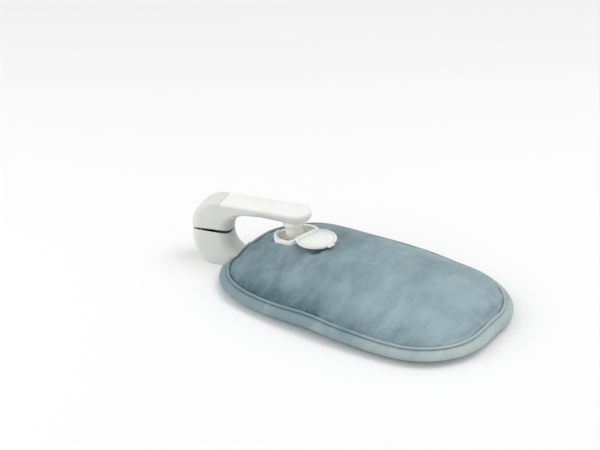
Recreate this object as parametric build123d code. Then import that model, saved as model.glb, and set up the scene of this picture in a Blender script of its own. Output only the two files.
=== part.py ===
from build123d import *
import math
import os

# Electric heating pad: a plush cushion filled with water, with a charging port in its top,
# and a C shaped charging clamp that reaches over the cushion's end and plugs into the port.
# Frame: millimetres, +Z up, origin in the middle of the cushion's flat underside,
# +X along the cushion, away from the clamp.

# Cushion outline, eight arcs
pad_length = 360.0
pad_width = 236.0
long_side_radius = 764.0
end_radius = 1500.0
corner_radius = 88.0

# Cushion profile: flat foot, rolled rim, sewn ridge and crown
foot_inset = 21.0
belly_inset = 6.0
belly_height = 5.5
flange_height = 9.0
rim_top_inset = 2.5
rim_top_height = 14.0
ridge_inset = 11.0
ridge_height = 17.0
crown_height = 51.0
crown_power = 2.0
crown_softness = 0.7
crown_steps = (0.98, 0.94, 0.89, 0.82, 0.73, 0.61, 0.46, 0.29, 0.12)
piping_diameter = 3.6

# Layers inside the cushion
cover_wall = 2.5
hem_depth = 13.0
layer_gap = 0.5
fit_gap = 0.05
bag_wall = 1.5

# Port, in its own leaning frame: origin in the middle of the rim, z out of the cup
port_setback = 80.0
port_y = 1.0
port_rim_height = 55.0
port_turn = -12.0
port_lean = -8.0
port_radius = 28.5
port_wall = 4.2
port_depth = 19.0
cup_depth = 12.0
cup_floor = 2.5
hinge_cut = 15.5
latch_cut = 27.0
port_flange_radius = 30.5
seat_margin = 3.0
seat_hole_radius = 22.0
gasket_thickness = 1.0
clamp_ring_thickness = 2.5
cover_hole_gap = 0.6
ring_screw_count = 6
ring_screw_circle = 26.2
ring_screw_start = 30.0
screw_diameter = 2.8
screw_head_diameter = 4.4
screw_head_height = 1.6

# Contacts in the port and on the plug
contact_plate_radius = 11.5
contact_plate_thickness = 2.0
contact_count = 3
contact_circle = 5.0
contact_pad_radius = 1.9
contact_pin_radius = 1.1
contact_gap = 0.3

# Water filler beside the contacts
stopper_x = -3.0
stopper_y = -16.8
stopper_radius = 3.2
stopper_head_radius = 4.2
stopper_head_height = 3.0
stopper_tail = 0.8
stopper_rib_length = 6.0
stopper_rib_width = 2.0
stopper_rib_height = 2.0
stopper_gap = 0.05

# Heater under the port
cage_radius = 20.5
cage_wall = 1.6
cage_depth = 8.5
cage_slot_count = 10
cage_slot_width = 3.0
element_ring_radius = 13.5
element_diameter = 5.0
thermostat_offset = 15.5
thermostat_radius = 5.0
thermostat_height = 4.0
fuse_diameter = 3.0
fuse_length = 12.0

# Lid
lid_radius = 25.0
lid_latch_cut = 23.4
lid_corner = 6.0
lid_thickness = 3.0
lid_lift = 0.2
lid_rim_width = 2.0
lid_recess = 1.0
lid_seal_width = 1.8
lid_seal_height = 0.7
lid_axis_x = 17.5
lid_droop = 5.0
knuckle_radius = 2.5
lid_pin_radius = 1.2
lid_knuckle_half = 9.0
lug_width = 4.0
knuckle_gap = 0.3
latch_tab_width = 10.0
latch_tab_length = 3.4
latch_tab_thickness = 2.0

# Charging clamp, in its own frame: x from the plug towards the arm's tip, z up from the floor
plug_x = -3.8
clamp_turn = 15.0
clamp_height = 85.5
elbow_outer_x = -132.75
elbow_inner_x = -81.5
outer_bend = 37.0
inner_bend = 27.0
elbow_half_width = 19.0
elbow_corner = 15.0
arm_root_x = -40.0
arm_root_half_width = 17.0
arm_root_depth = 12.5
arm_root_corner = 9.0
head_x = 2.4
head_half_width = 18.5
head_depth = 14.5
head_corner = 10.5
lower_arm_depth = 14.0
plate_edge_round = 1.5
shell_wall = 2.5

# Seam between the clamp's halves, arched across the elbow
seam_gap = 2.8
seam_open_angle = 2.3
seam_arch_radius = 40.0

# Clamp hinge
hinge_inset = 9.0
hinge_pin_radius = 1.75
hinge_barrel_radius = 4.2
hinge_half_length = 9.5
upper_knuckle_outer = 6.5
upper_knuckle_inner = 4.0
bush_wall = 0.8
running_gap = 0.05
hinge_web_height = 15.0
spring_wire = 0.9
spring_radius = 3.0
spring_turns = 5

# Cover plates of the two arms
plate_inset = 0.2
plate_thickness = 3.2
plate_corner = 1.2
plate_proud = 0.3
plate_fit_gap = 0.15
top_plate_rear_x = -92.0
base_plate_rear_x = -88.0
base_inset = 1.8
base_plate_thickness = 2.2
base_lift = 0.8
foot_pad_radius = 5.0
foot_pad_setback = 11.0
foot_pad_thickness = 1.6

# Plug neck, along the port's leaning axis
nose_radius = 10.2
neck_radius = 10.9
flare_radius = 13.6
nose_top = -4.0
neck_top = 2.0
flare_top = 11.5
neck_reach = 26.0
nose_bore_radius = 8.0
nose_bore_depth = 7.0
carrier_gap = 0.1

# Mains inlet in the back of the lower half, switch and board inside it
inlet_height = 24.0
inlet_width = 19.0
inlet_tall = 11.0
inlet_depth = 20.0
inlet_wall = 1.6
inlet_cavity_depth = 14.0
inlet_pin_radius = 1.15
inlet_pin_length = 8.0
inlet_pin_spacing = 8.6
inlet_pin_tail = 2.0
switch_offset = 6.0
switch_y = 12.6
switch_length = 11.0
switch_width = 5.0
switch_height = 9.0
plunger_radius = 1.0
plunger_gap = 0.1
plunger_sleeve = 0.06
switch_front = 4.0
switch_drop = 2.0
plunger_reach = 7.0
cam_width = 4.0
cam_length = 9.0
cam_front = 2.0
cam_height = 7.0
cam_arm_lift = 4.5
board_length = 62.0
board_width = 22.0
board_thickness = 1.6
relay_offset = 8.0
relay_length = 15.0
relay_width = 8.0
relay_height = 6.0

# Derived places
half_length = pad_length / 2
half_width = pad_width / 2
port_x = port_setback - half_length
PORT = Location((port_x, port_y, port_rim_height), (0, 0, port_turn)) * Location((0, 0, 0), (0, port_lean, 0))
plug_point = (PORT * Location((plug_x, 0, 0))).position
CLAMP = Location((plug_point.X, plug_point.Y, 0), (0, 0, clamp_turn))
seam_height = clamp_height / 2
hinge_x = elbow_outer_x + hinge_inset
floor_top = -cup_depth
floor_bottom = floor_top - cup_floor
flange_top = -port_depth
flange_bottom = flange_top - cup_floor
seat_top = flange_bottom - gasket_thickness
seat_radius = port_flange_radius + seat_margin
plate_top = floor_top + contact_plate_thickness
cage_top = seat_top - bag_wall
cage_floor_top = cage_top - cage_depth + cage_wall
nose_bottom = plate_top + contact_gap
lid_axis_z = lid_lift + lid_thickness / 2


# Small helpers

def tube_along_y(x, z, radius, y_low, y_high):
    """A round bar along Y, through (x, z)."""
    bar = Cylinder(radius, y_high - y_low, rotation=(90, 0, 0))
    return Pos(x, (y_low + y_high) / 2, z) * bar


def block(x_low, x_high, y_low, y_high, z_low, z_high):
    """A box between two corners."""
    centre = ((x_low + x_high) / 2, (y_low + y_high) / 2, (z_low + z_high) / 2)
    return Pos(*centre) * Box(x_high - x_low, y_high - y_low, z_high - z_low)


def disc(x, y, z_low, z_high, radius):
    """An upright cylinder between two heights."""
    return Pos(x, y, (z_low + z_high) / 2) * Cylinder(radius, z_high - z_low)


def around(count, radius, x=0.0, y=0.0, start=0.0):
    """Places evenly spaced on a circle."""
    places = []
    for index in range(count):
        angle = math.radians(start + 360.0 * index / count)
        places.append((x + radius * math.cos(angle), y + radius * math.sin(angle)))
    return places


def group(shapes):
    """Separate solids of one node."""
    solids = []
    for shape in shapes:
        solids.extend(shape.solids())
    return Compound(children=solids)


# Cushion

def outline(half_x, half_y, scale, height):
    """The cushion's outline at one height: two side arcs, two end arcs and four corner arcs."""
    side_r = long_side_radius * scale
    end_r = end_radius * scale
    corner_r = corner_radius * scale
    side_y = half_y - side_r
    end_x = half_x - end_r
    span = math.hypot(end_x, side_y)
    along = ((side_r - corner_r) ** 2 - (end_r - corner_r) ** 2 + span ** 2) / (2 * span)
    across = math.sqrt((side_r - corner_r) ** 2 - along ** 2)
    ux = end_x / span
    uy = -side_y / span
    corner_x = along * ux + across * uy
    corner_y = side_y + along * uy - across * ux
    side_reach = math.hypot(corner_x, corner_y - side_y)
    end_reach = math.hypot(corner_x - end_x, corner_y)
    ax = side_r * corner_x / side_reach
    ay = side_y + side_r * (corner_y - side_y) / side_reach
    bx = end_x + end_r * (corner_x - end_x) / end_reach
    by = end_r * corner_y / end_reach
    mid = math.atan2((ay - corner_y) + (by - corner_y), (ax - corner_x) + (bx - corner_x))
    mx = corner_x + corner_r * math.cos(mid)
    my = corner_y + corner_r * math.sin(mid)
    edges = [
        ThreePointArc((-ax, ay, height), (0, half_y, height), (ax, ay, height)),
        ThreePointArc((ax, ay, height), (mx, my, height), (bx, by, height)),
        ThreePointArc((bx, by, height), (half_x, 0, height), (bx, -by, height)),
        ThreePointArc((bx, -by, height), (mx, -my, height), (ax, -ay, height)),
        ThreePointArc((ax, -ay, height), (0, -half_y, height), (-ax, -ay, height)),
        ThreePointArc((-ax, -ay, height), (-mx, -my, height), (-bx, -by, height)),
        ThreePointArc((-bx, -by, height), (-half_x, 0, height), (-bx, by, height)),
        ThreePointArc((-bx, by, height), (-mx, my, height), (-ax, ay, height)),
    ]
    return Wire(edges)


def inset_outline(inset, height):
    """The outline drawn in by the same distance all round."""
    scale = (half_width - inset) / half_width
    return outline(half_length - inset, half_width - inset, scale, height)


def crown_sections(edge_inset, base, top):
    """Outlines that climb the crown from its sewn edge."""
    sections = []
    for step in crown_steps:
        height = base + (top - base) * (1 - step ** crown_power) ** crown_softness
        half_x = (half_length - edge_inset) * step
        half_y = (half_width - edge_inset) * step
        sections.append(outline(half_x, half_y, half_y / half_width, height))
    return sections


def cushion_outside():
    """The whole cushion as one closed form."""
    sections = [
        inset_outline(foot_inset, 0),
        inset_outline(belly_inset, belly_height),
        inset_outline(0, flange_height),
        inset_outline(rim_top_inset, rim_top_height),
        inset_outline(ridge_inset, ridge_height),
    ]
    sections.extend(crown_sections(ridge_inset, ridge_height, crown_height))
    return Solid.make_loft(sections, ruled=True)


def cushion_inside(shrink):
    """The room inside the cover, drawn in by shrink on every side."""
    edge = hem_depth + shrink
    sections = [
        inset_outline(foot_inset + edge / 2, shrink),
        inset_outline(edge, flange_height),
    ]
    sections.extend(crown_sections(edge, ridge_height - shrink, crown_height - shrink))
    return Solid.make_loft(sections, ruled=True)


def clamp_room(gap):
    """What the clamp's lower half takes out of the cushion, with a gap round it."""
    half = elbow_half_width + gap
    ceiling = lower_arm_depth + gap
    bend_x = elbow_inner_x + inner_bend
    bend_z = lower_arm_depth + inner_bend
    slot = block(bend_x, head_x, -half, half, -1, ceiling)
    slot += disc(head_x, 0, -1, ceiling, half)
    corner = block(elbow_inner_x - inner_bend, bend_x, -half, half, -1, bend_z)
    corner -= tube_along_y(bend_x, bend_z, inner_bend - gap, -half - 1, half + 1)
    corner -= block(elbow_inner_x + gap, bend_x + 1, -half, half, bend_z - 1, bend_z + 1)
    return CLAMP * (slot + corner)


def port_seat(gap):
    """The round dent in the bag's top that the port's flange sits in."""
    return PORT * disc(0, 0, seat_top - gap, -seat_top, seat_radius + gap)


def make_cover():
    """Top and bottom panels of the plush cover, split at the flange."""
    shell = cushion_outside() - cushion_inside(cover_wall)
    room = clamp_room(layer_gap)
    room_wall = clamp_room(layer_gap + cover_wall) & cushion_outside()
    shell = shell + room_wall - room
    hole = cup_plan(port_radius + cover_hole_gap, hinge_cut + cover_hole_gap, latch_cut + cover_hole_gap)
    shell -= PORT * extrude(Pos(0, 0, seat_top) * hole, clamp_height)
    shell -= PORT * disc(0, 0, seat_top - cover_wall, flange_top + layer_gap, port_flange_radius + layer_gap)
    split = block(-pad_length, pad_length, -pad_width, pad_width, flange_height, 2 * crown_height)
    return shell & split, shell - split


def make_piping():
    """The sewn cord that stands up from the ridge, all round the crown."""
    path = inset_outline(ridge_inset, ridge_height + piping_diameter / 2)
    start = path @ 0
    section = Plane(origin=start, z_dir=path % 0) * Circle(piping_diameter / 2)
    return sweep(section, path) - clamp_room(layer_gap)


def make_bag():
    """The water bag, with a flat dented seat for the port."""
    outer = cushion_inside(cover_wall + layer_gap)
    outer -= clamp_room(cover_wall + 2 * layer_gap)
    outer -= port_seat(0)
    inner = cushion_inside(cover_wall + layer_gap + bag_wall)
    inner -= clamp_room(cover_wall + 2 * layer_gap + bag_wall)
    inner -= port_seat(bag_wall)
    bag = outer - inner
    bag -= PORT * disc(0, 0, cage_top - bag_wall, 0, seat_hole_radius)
    for x, y in around(ring_screw_count, ring_screw_circle, start=ring_screw_start):
        bag -= PORT * disc(x, y, cage_top - bag_wall, seat_top + bag_wall, screw_diameter / 2)
    return bag


def make_water():
    """The water in the bag, clear of the bag's wall and of the heater."""
    wall = cover_wall + layer_gap + bag_wall
    water = cushion_inside(wall + layer_gap) - clamp_room(wall + 2 * layer_gap)
    ring_low = cage_top - clamp_ring_thickness - screw_head_height
    water -= PORT * disc(0, 0, ring_low - layer_gap, -seat_top, seat_radius + bag_wall + layer_gap)
    cage_low = cage_top - cage_depth
    return water - PORT * disc(0, 0, cage_low - layer_gap, -seat_top, cage_radius + layer_gap)


# Port

def cup_plan(radius, cut, far_cut, corner=0.0):
    """A circle with one straight side for the hinge and one for the latch."""
    plan = Circle(radius) - Pos(cut + radius, 0) * Rectangle(2 * radius, 3 * radius)
    plan -= Pos(-far_cut - radius, 0) * Rectangle(2 * radius, 3 * radius)
    return fillet(plan.vertices(), corner) if corner else plan


def make_port_cup():
    """White cup with its flange and the two hinge lugs."""
    outside = cup_plan(port_radius, hinge_cut, latch_cut)
    inside = cup_plan(port_radius - port_wall, hinge_cut - port_wall, latch_cut - port_wall)
    chamber = Circle(seat_hole_radius) & inside
    cup = extrude(Pos(0, 0, flange_bottom) * outside, -flange_bottom)
    cup -= extrude(Pos(0, 0, floor_top) * inside, cup_depth)
    cup += disc(0, 0, flange_bottom, flange_top, port_flange_radius)
    cup -= extrude(Pos(0, 0, flange_bottom) * chamber, floor_bottom - flange_bottom)
    for side in (-1, 1):
        near = lid_knuckle_half + knuckle_gap
        ends = sorted((side * near, side * (near + lug_width)))
        lug = tube_along_y(lid_axis_x, lid_axis_z, knuckle_radius, *ends)
        lug += block(hinge_cut - port_wall, lid_axis_x, *ends, -knuckle_radius, lid_axis_z)
        cup += lug
    reach = lid_knuckle_half + lug_width + 1
    cup -= tube_along_y(lid_axis_x, lid_axis_z, lid_pin_radius, -reach, reach)
    tab_half = latch_tab_width / 2 + knuckle_gap
    cup -= block(-latch_cut - 1, -latch_cut + port_wall + 1, -tab_half, tab_half, -latch_tab_thickness, 1)
    cup -= disc(stopper_x, stopper_y, floor_bottom - 1, floor_top + 1, stopper_radius + stopper_gap)
    for x, y in around(contact_count, contact_circle, plug_x):
        cup -= disc(x, y, floor_bottom - 1, floor_top + 1, contact_pad_radius)
    for x, y in around(ring_screw_count, ring_screw_circle, start=ring_screw_start):
        cup -= disc(x, y, flange_bottom - 1, flange_top, screw_diameter / 2)
    return cup


def ring(z_low, z_high, inner, outer):
    """A flat ring with the port's screw holes."""
    shape = disc(0, 0, z_low, z_high, outer) - disc(0, 0, z_low - 1, z_high + 1, inner)
    for x, y in around(ring_screw_count, ring_screw_circle, start=ring_screw_start):
        shape -= disc(x, y, z_low - 1, z_high + 1, screw_diameter / 2)
    return shape


def make_ring_screws():
    """Screws that pull the clamp ring, bag and gasket against the port's flange."""
    screws = []
    low = cage_top - clamp_ring_thickness
    for x, y in around(ring_screw_count, ring_screw_circle, start=ring_screw_start):
        screw = disc(x, y, low, flange_top - screw_head_height / 2, screw_diameter / 2)
        screw += disc(x, y, low - screw_head_height, low, screw_head_diameter / 2)
        screws.append(PORT * screw)
    return group(screws)


def make_contact_plate():
    """Insulating plate under the plug, holding the three contacts."""
    plate = disc(plug_x, 0, floor_top, plate_top, contact_plate_radius)
    for x, y in around(contact_count, contact_circle, plug_x):
        plate -= disc(x, y, floor_top - 1, plate_top + 1, contact_pad_radius)
    return plate


def make_port_contacts():
    """Metal studs from the plate down through the cup's floor to the heater."""
    studs = []
    for x, y in around(contact_count, contact_circle, plug_x):
        studs.append(PORT * disc(x, y, seat_top, plate_top, contact_pad_radius))
    return group(studs)


def make_stopper():
    """Rubber stopper of the water filler, with a ribbed head to pull."""
    stopper = disc(stopper_x, stopper_y, floor_bottom - stopper_tail, floor_top, stopper_radius)
    head_top = floor_top + stopper_head_height
    stopper += disc(stopper_x, stopper_y, floor_top, head_top, stopper_head_radius)
    half = stopper_rib_length / 2
    side = stopper_rib_width / 2
    rib_top = head_top + stopper_rib_height
    rib = block(stopper_x - half, stopper_x + half, stopper_y - side, stopper_y + side, head_top, rib_top)
    return stopper + rib


def make_cage():
    """Slotted cup that lets water reach the heating element."""
    low = cage_top - cage_depth
    cage = disc(0, 0, low, cage_top, cage_radius)
    cage -= disc(0, 0, low + cage_wall, cage_top + 1, cage_radius - cage_wall)
    reach = cage_radius + 1
    slot_low = low + 2 * cage_wall
    slot_high = cage_top - 2 * cage_wall
    for index in range(cage_slot_count):
        slot = block(cage_radius / 2, reach, -cage_slot_width / 2, cage_slot_width / 2, slot_low, slot_high)
        cage -= Rot(0, 0, 360.0 * index / cage_slot_count) * slot
    collar = disc(0, 0, cage_top, seat_top, seat_hole_radius - running_gap)
    collar -= disc(0, 0, cage_top - 1, seat_top + 1, cage_radius - cage_wall)
    return cage + collar


def make_element():
    """Sheathed heating ring on the cage's floor."""
    radius = element_diameter / 2
    return Pos(0, 0, cage_floor_top + fit_gap + radius) * Torus(element_ring_radius, radius)


def make_thermostat():
    """Disc thermostat against the underside of the cup's floor."""
    low = floor_bottom - thermostat_height
    return disc(plug_x, thermostat_offset, low, floor_bottom, thermostat_radius)


def make_fuse():
    """Thermal fuse lying on the cage's floor."""
    height = cage_floor_top + fit_gap + fuse_diameter / 2
    return tube_along_y(0, height, fuse_diameter / 2, -fuse_length / 2, fuse_length / 2)


# Lid, drawn shut over the cup and then turned over to lie open

def lid_place():
    """Turns the shut lid about its pin until it lies open."""
    to_axis = Pos(lid_axis_x, 0, lid_axis_z)
    turned = Rot(0, 180 + lid_droop, 0)
    back = Pos(-lid_axis_x, 0, -lid_axis_z)
    return PORT * to_axis * turned * back


def make_lid():
    """Flap with a recessed inner face, a middle knuckle and a latch tab."""
    edge = hinge_cut + knuckle_gap
    top = lid_lift + lid_thickness
    lid = extrude(Pos(0, 0, lid_lift) * cup_plan(lid_radius, edge, lid_latch_cut, lid_corner), lid_thickness)
    inner = cup_plan(lid_radius - lid_rim_width, edge - lid_rim_width, lid_latch_cut - lid_rim_width)
    lid -= extrude(Pos(0, 0, lid_lift) * inner, lid_recess)
    tab_low = -lid_latch_cut - latch_tab_length
    tab_half = latch_tab_width / 2
    lid += block(tab_low, -lid_latch_cut + lid_rim_width, -tab_half, tab_half, top - latch_tab_thickness, top)
    ends = (-lid_knuckle_half, lid_knuckle_half)
    lug_room = lid_knuckle_half + knuckle_gap + lug_width + knuckle_gap
    for side in (-1, 1):
        span = sorted((side * lid_knuckle_half, side * lug_room))
        lid -= block(lid_axis_x - knuckle_radius - knuckle_gap, lid_axis_x, *span, -1, top + 1)
    lid += block(edge - lid_rim_width, lid_axis_x, *ends, lid_axis_z - 1, top)
    lid += tube_along_y(lid_axis_x, lid_axis_z, knuckle_radius, *ends)
    lid -= tube_along_y(lid_axis_x, lid_axis_z, lid_pin_radius + running_gap, -lug_room, lug_room)
    return lid_place() * lid


def make_lid_pin():
    """Steel pin through the lugs and the lid's knuckle."""
    reach = lid_knuckle_half + knuckle_gap + lug_width
    return PORT * tube_along_y(lid_axis_x, lid_axis_z, lid_pin_radius, -reach, reach)


def make_lid_seal():
    """Soft seal in the lid's recess."""
    outer = lid_radius - lid_rim_width
    edge = hinge_cut + knuckle_gap - lid_rim_width
    far = lid_latch_cut - lid_rim_width
    inner = cup_plan(outer - lid_seal_width, edge - lid_seal_width, far - lid_seal_width)
    seal = cup_plan(outer, edge, far) - inner
    return lid_place() * extrude(Pos(0, 0, lid_lift + lid_recess - lid_seal_height) * seal, lid_seal_height)


# Clamp body

def clamp_section(outer, inner, half, outer_corner, inner_corner, wall):
    """A rounded section of the C, between a point on its outside and one on its inside."""
    thickness = math.dist(outer, inner)
    dx = (inner[0] - outer[0]) / thickness
    dz = (inner[1] - outer[1]) / thickness
    depth = thickness - wall
    side = half - wall
    outer_r = max(outer_corner - wall, plate_edge_round / 3)
    inner_r = max(inner_corner - wall, plate_edge_round / 3)
    bend = math.sqrt(0.5)

    def place(along, across):
        return (outer[0] + along * dx, across, outer[1] + along * dz)

    def corner(along, across, radius, along_sign, across_sign):
        return place(along + along_sign * radius * bend, across + across_sign * radius * bend)

    edges = [
        Line(place(wall, outer_r - side), place(wall, side - outer_r)),
        ThreePointArc(place(wall, side - outer_r),
                      corner(wall + outer_r, side - outer_r, outer_r, -1, 1), place(wall + outer_r, side)),
        Line(place(wall + outer_r, side), place(depth - inner_r, side)),
        ThreePointArc(place(depth - inner_r, side),
                      corner(depth - inner_r, side - inner_r, inner_r, 1, 1), place(depth, side - inner_r)),
        Line(place(depth, side - inner_r), place(depth, inner_r - side)),
        ThreePointArc(place(depth, inner_r - side),
                      corner(depth - inner_r, inner_r - side, inner_r, 1, -1), place(depth - inner_r, -side)),
        Line(place(depth - inner_r, -side), place(wall + outer_r, -side)),
        ThreePointArc(place(wall + outer_r, -side),
                      corner(wall + outer_r, outer_r - side, outer_r, -1, -1), place(wall, outer_r - side)),
    ]
    return Wire(edges)


def half_clamp(root_depth, tip_depth, tip_corner, wall):
    """One half of the C as a closed form, drawn as the upper half, from the seam to the tip."""
    top = clamp_height
    bend_x = elbow_inner_x + inner_bend
    bend_z = top - root_depth - inner_bend
    crest_x = elbow_outer_x + outer_bend
    crest_z = top - outer_bend
    low = seam_height - elbow_corner

    def blend(start, end, share):
        return start + (end - start) * share

    elbow = [clamp_section((elbow_outer_x, low), (elbow_inner_x, low), elbow_half_width,
                           elbow_corner, elbow_corner, wall)]
    for degrees in (0, 22.5, 45, 67.5, 90):
        share = degrees / 90
        turn = math.radians(degrees)
        outer = (crest_x - outer_bend * math.cos(turn), crest_z + outer_bend * math.sin(turn))
        inner = (bend_x - inner_bend * math.cos(turn), bend_z + inner_bend * math.sin(turn))
        half = blend(elbow_half_width, arm_root_half_width, share ** 2)
        elbow.append(clamp_section(outer, inner, half, blend(elbow_corner, plate_edge_round, share),
                                   blend(elbow_corner, arm_root_corner, share), wall))
    middle_top = ((crest_x + arm_root_x) / 2, top)
    middle_low = ((bend_x + arm_root_x) / 2, top - root_depth)
    root = ((arm_root_x, top), (arm_root_x, top - root_depth))
    tip = ((head_x, top), (head_x, top - tip_depth))
    arm = [
        elbow[-1],
        clamp_section(middle_top, middle_low, arm_root_half_width, plate_edge_round, arm_root_corner, wall),
        clamp_section(*root, arm_root_half_width, plate_edge_round, arm_root_corner, wall),
        clamp_section(*tip, head_half_width, plate_edge_round, tip_corner, wall),
    ]
    side = head_half_width - wall
    high = top - wall
    foot = top - tip_depth + wall
    belly = max(tip_corner - wall, plate_edge_round / 3)
    edge = max(plate_edge_round - wall, plate_edge_round / 3)
    bend = math.sqrt(0.5)
    profile = [
        Line((head_x, 0, foot), (head_x, 0, high)),
        Line((head_x, 0, high), (head_x + side - edge, 0, high)),
        ThreePointArc((head_x + side - edge, 0, high),
                      (head_x + side - edge + edge * bend, 0, high - edge + edge * bend),
                      (head_x + side, 0, high - edge)),
        Line((head_x + side, 0, high - edge), (head_x + side, 0, foot + belly)),
        ThreePointArc((head_x + side, 0, foot + belly),
                      (head_x + side - belly + belly * bend, 0, foot + belly - belly * bend),
                      (head_x + side - belly, 0, foot)),
        Line((head_x + side - belly, 0, foot), (head_x, 0, foot)),
    ]
    head = revolve(Face(Wire(profile)), Axis((head_x, 0, 0), (0, 0, 1)))
    head &= block(head_x, head_x + head_half_width, -head_half_width, head_half_width, 0, clamp_height)
    return Solid.make_loft(elbow) + Solid.make_loft(arm, ruled=True) + head


def upper_form(wall=0.0):
    """Closed form of the upper half, elbow, arm and head."""
    return half_clamp(arm_root_depth, head_depth, head_corner, wall)


def lower_form(wall=0.0):
    """Closed form of the lower half, the upper half's form turned upside down."""
    form = half_clamp(lower_arm_depth, lower_arm_depth, arm_root_corner, wall)
    return Pos(0, 0, clamp_height) * Rot(180, 0, 0) * form


def above_seam(gap, angle):
    """Everything above the arched seam, seen from the hinge."""
    reach = abs(elbow_outer_x)
    arch = Cylinder(seam_arch_radius, 2 * reach, rotation=(0, 90, 0))
    arch = Pos(0, 0, seam_arch_radius + gap) * arch
    rest = block(-reach, 2 * reach, -reach, reach, elbow_corner + gap, reach)
    return Pos(hinge_x, 0, seam_height) * Rot(0, -angle, 0) * (arch + rest)


def plate_plan(rear_x, grow):
    """Plan of an arm's cover plate, round at the head and narrower at the elbow."""
    front = head_half_width - plate_inset + grow
    rear = arm_root_half_width - plate_inset + grow
    end = rear_x - grow
    near_side = [(end, -rear), (arm_root_x, -rear), (head_x, -front)]
    far_side = [(head_x, front), (arm_root_x, rear), (end, rear)]
    return make_face(Polyline(*near_side, *far_side, close=True)) + Pos(head_x, 0) * Circle(front)


def plate_opening(rear_x, base, height):
    """What a cover plate takes out of a shell: open at both sides, a close fit at the rear."""
    reach = 2 * head_half_width
    return block(rear_x - plate_fit_gap, head_x + reach, -reach, reach, base, base + height)


def base_plan(grow):
    """Plan of the base plate, inside the lower shell's edge."""
    front = head_half_width - base_inset + grow
    rear = arm_root_half_width - base_inset + grow
    end = base_plate_rear_x - grow
    plan = make_face(Polyline((end, -rear), (head_x, -front), (head_x, front), (end, rear), close=True))
    plan = fillet(plan.vertices().sort_by(Axis.X)[:2], rear / 2)
    return plan + Pos(head_x, 0) * Circle(front)


def hinge_barrel(y_low, y_high, bore):
    """A knuckle of the clamp's hinge."""
    barrel = tube_along_y(hinge_x, seam_height, hinge_barrel_radius, y_low, y_high)
    return barrel - tube_along_y(hinge_x, seam_height, bore, y_low - 1, y_high + 1)


def knuckle_spans(near, far):
    """The two mirrored stretches of the hinge pin between two distances."""
    return [(-far, -near), (near, far)]


def make_upper_shell():
    """Grey shell of the upper half, with its two hinge knuckles and the plate's ledge."""
    form = upper_form()
    shell = form - upper_form(shell_wall)
    recess = plate_thickness - plate_proud
    base = clamp_height - recess
    opening = plate_opening(top_plate_rear_x, base, recess + 1)
    window = plate_plan(top_plate_rear_x, -2 * shell_wall)
    ledge = extrude(Pos(0, 0, base - shell_wall) * window, recess + shell_wall + 1)
    shell = shell - opening - ledge
    shell &= above_seam(seam_gap / 2, seam_open_angle)
    for y_low, y_high in knuckle_spans(upper_knuckle_inner, upper_knuckle_outer):
        web_low = seam_height + seam_gap
        web_high = seam_height + hinge_web_height
        web = block(elbow_outer_x, hinge_x + hinge_barrel_radius, y_low, y_high, web_low, web_high)
        web += block(hinge_x - 1, hinge_x + hinge_barrel_radius, y_low, y_high, seam_height, web_low)
        web &= form
        shell += web - tube_along_y(hinge_x, seam_height, hinge_pin_radius + bush_wall, y_low - 1, y_high + 1)
        shell += hinge_barrel(y_low, y_high, hinge_pin_radius + bush_wall)
    return shell


def make_lower_shell():
    """Grey shell of the lower half, with two hinge knuckles and the inlet's window."""
    form = lower_form()
    shell = form - lower_form(shell_wall)
    recess = base_plate_thickness + base_lift
    opening = extrude(Pos(0, 0, -1) * base_plan(plate_fit_gap), recess + 1)
    ledge = extrude(Pos(0, 0, -1) * base_plan(-shell_wall), recess + shell_wall + 1)
    shell = shell - opening - ledge
    shell -= above_seam(-seam_gap / 2, 0)
    for y_low, y_high in knuckle_spans(upper_knuckle_outer + knuckle_gap, hinge_half_length):
        web_low = seam_height - hinge_web_height
        web_high = seam_height - seam_gap
        web = block(elbow_outer_x, hinge_x + hinge_barrel_radius, y_low, y_high, web_low, web_high)
        web += block(hinge_x - 1, hinge_x + hinge_barrel_radius, y_low, y_high, web_high, seam_height)
        web &= form
        shell += web - tube_along_y(hinge_x, seam_height, hinge_pin_radius, y_low - 1, y_high + 1)
        shell += hinge_barrel(y_low, y_high, hinge_pin_radius)
    return shell - inlet_block(plate_fit_gap)


def make_top_plate():
    """White plate along the top of the arm."""
    base = clamp_height - plate_thickness + plate_proud
    plate = extrude(Pos(0, 0, base) * plate_plan(top_plate_rear_x, 0), plate_thickness)
    return CLAMP * fillet(plate.faces().sort_by(Axis.Z)[-1].edges(), plate_corner)


def foot_places():
    """Middles of the rubber feet under the lower arm."""
    return [(base_plate_rear_x + foot_pad_setback, 0), (head_x, 0)]


def make_base_plate():
    """Plate under the lower arm, with pockets for the rubber feet."""
    plate = extrude(Pos(0, 0, base_lift) * base_plan(0), base_plate_thickness)
    for x, y in foot_places():
        plate -= disc(x, y, 0, foot_pad_thickness, foot_pad_radius)
    return CLAMP * plate


def make_feet():
    """Rubber feet in the base plate."""
    feet = []
    for x, y in foot_places():
        feet.append(CLAMP * disc(x, y, 0, foot_pad_thickness, foot_pad_radius))
    return group(feet)


def make_bushes():
    """Bronze bushes pressed into the upper knuckles."""
    bushes = []
    for y_low, y_high in knuckle_spans(upper_knuckle_inner, upper_knuckle_outer):
        bush = tube_along_y(hinge_x, seam_height, hinge_pin_radius + bush_wall, y_low, y_high)
        bush -= tube_along_y(hinge_x, seam_height, hinge_pin_radius + running_gap, y_low - 1, y_high + 1)
        bushes.append(CLAMP * bush)
    return group(bushes)


def make_spring():
    """Torsion spring round the hinge pin, between the upper knuckles."""
    room = 2 * (upper_knuckle_inner - knuckle_gap) - spring_wire
    coil = Helix(room / spring_turns, room, spring_radius)
    section = Plane(origin=coil @ 0, z_dir=coil % 0) * Circle(spring_wire / 2)
    wire = sweep(section, coil, is_frenet=True)
    return CLAMP * Pos(hinge_x, room / 2, seam_height) * Rot(90, 0, 0) * wire


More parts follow.
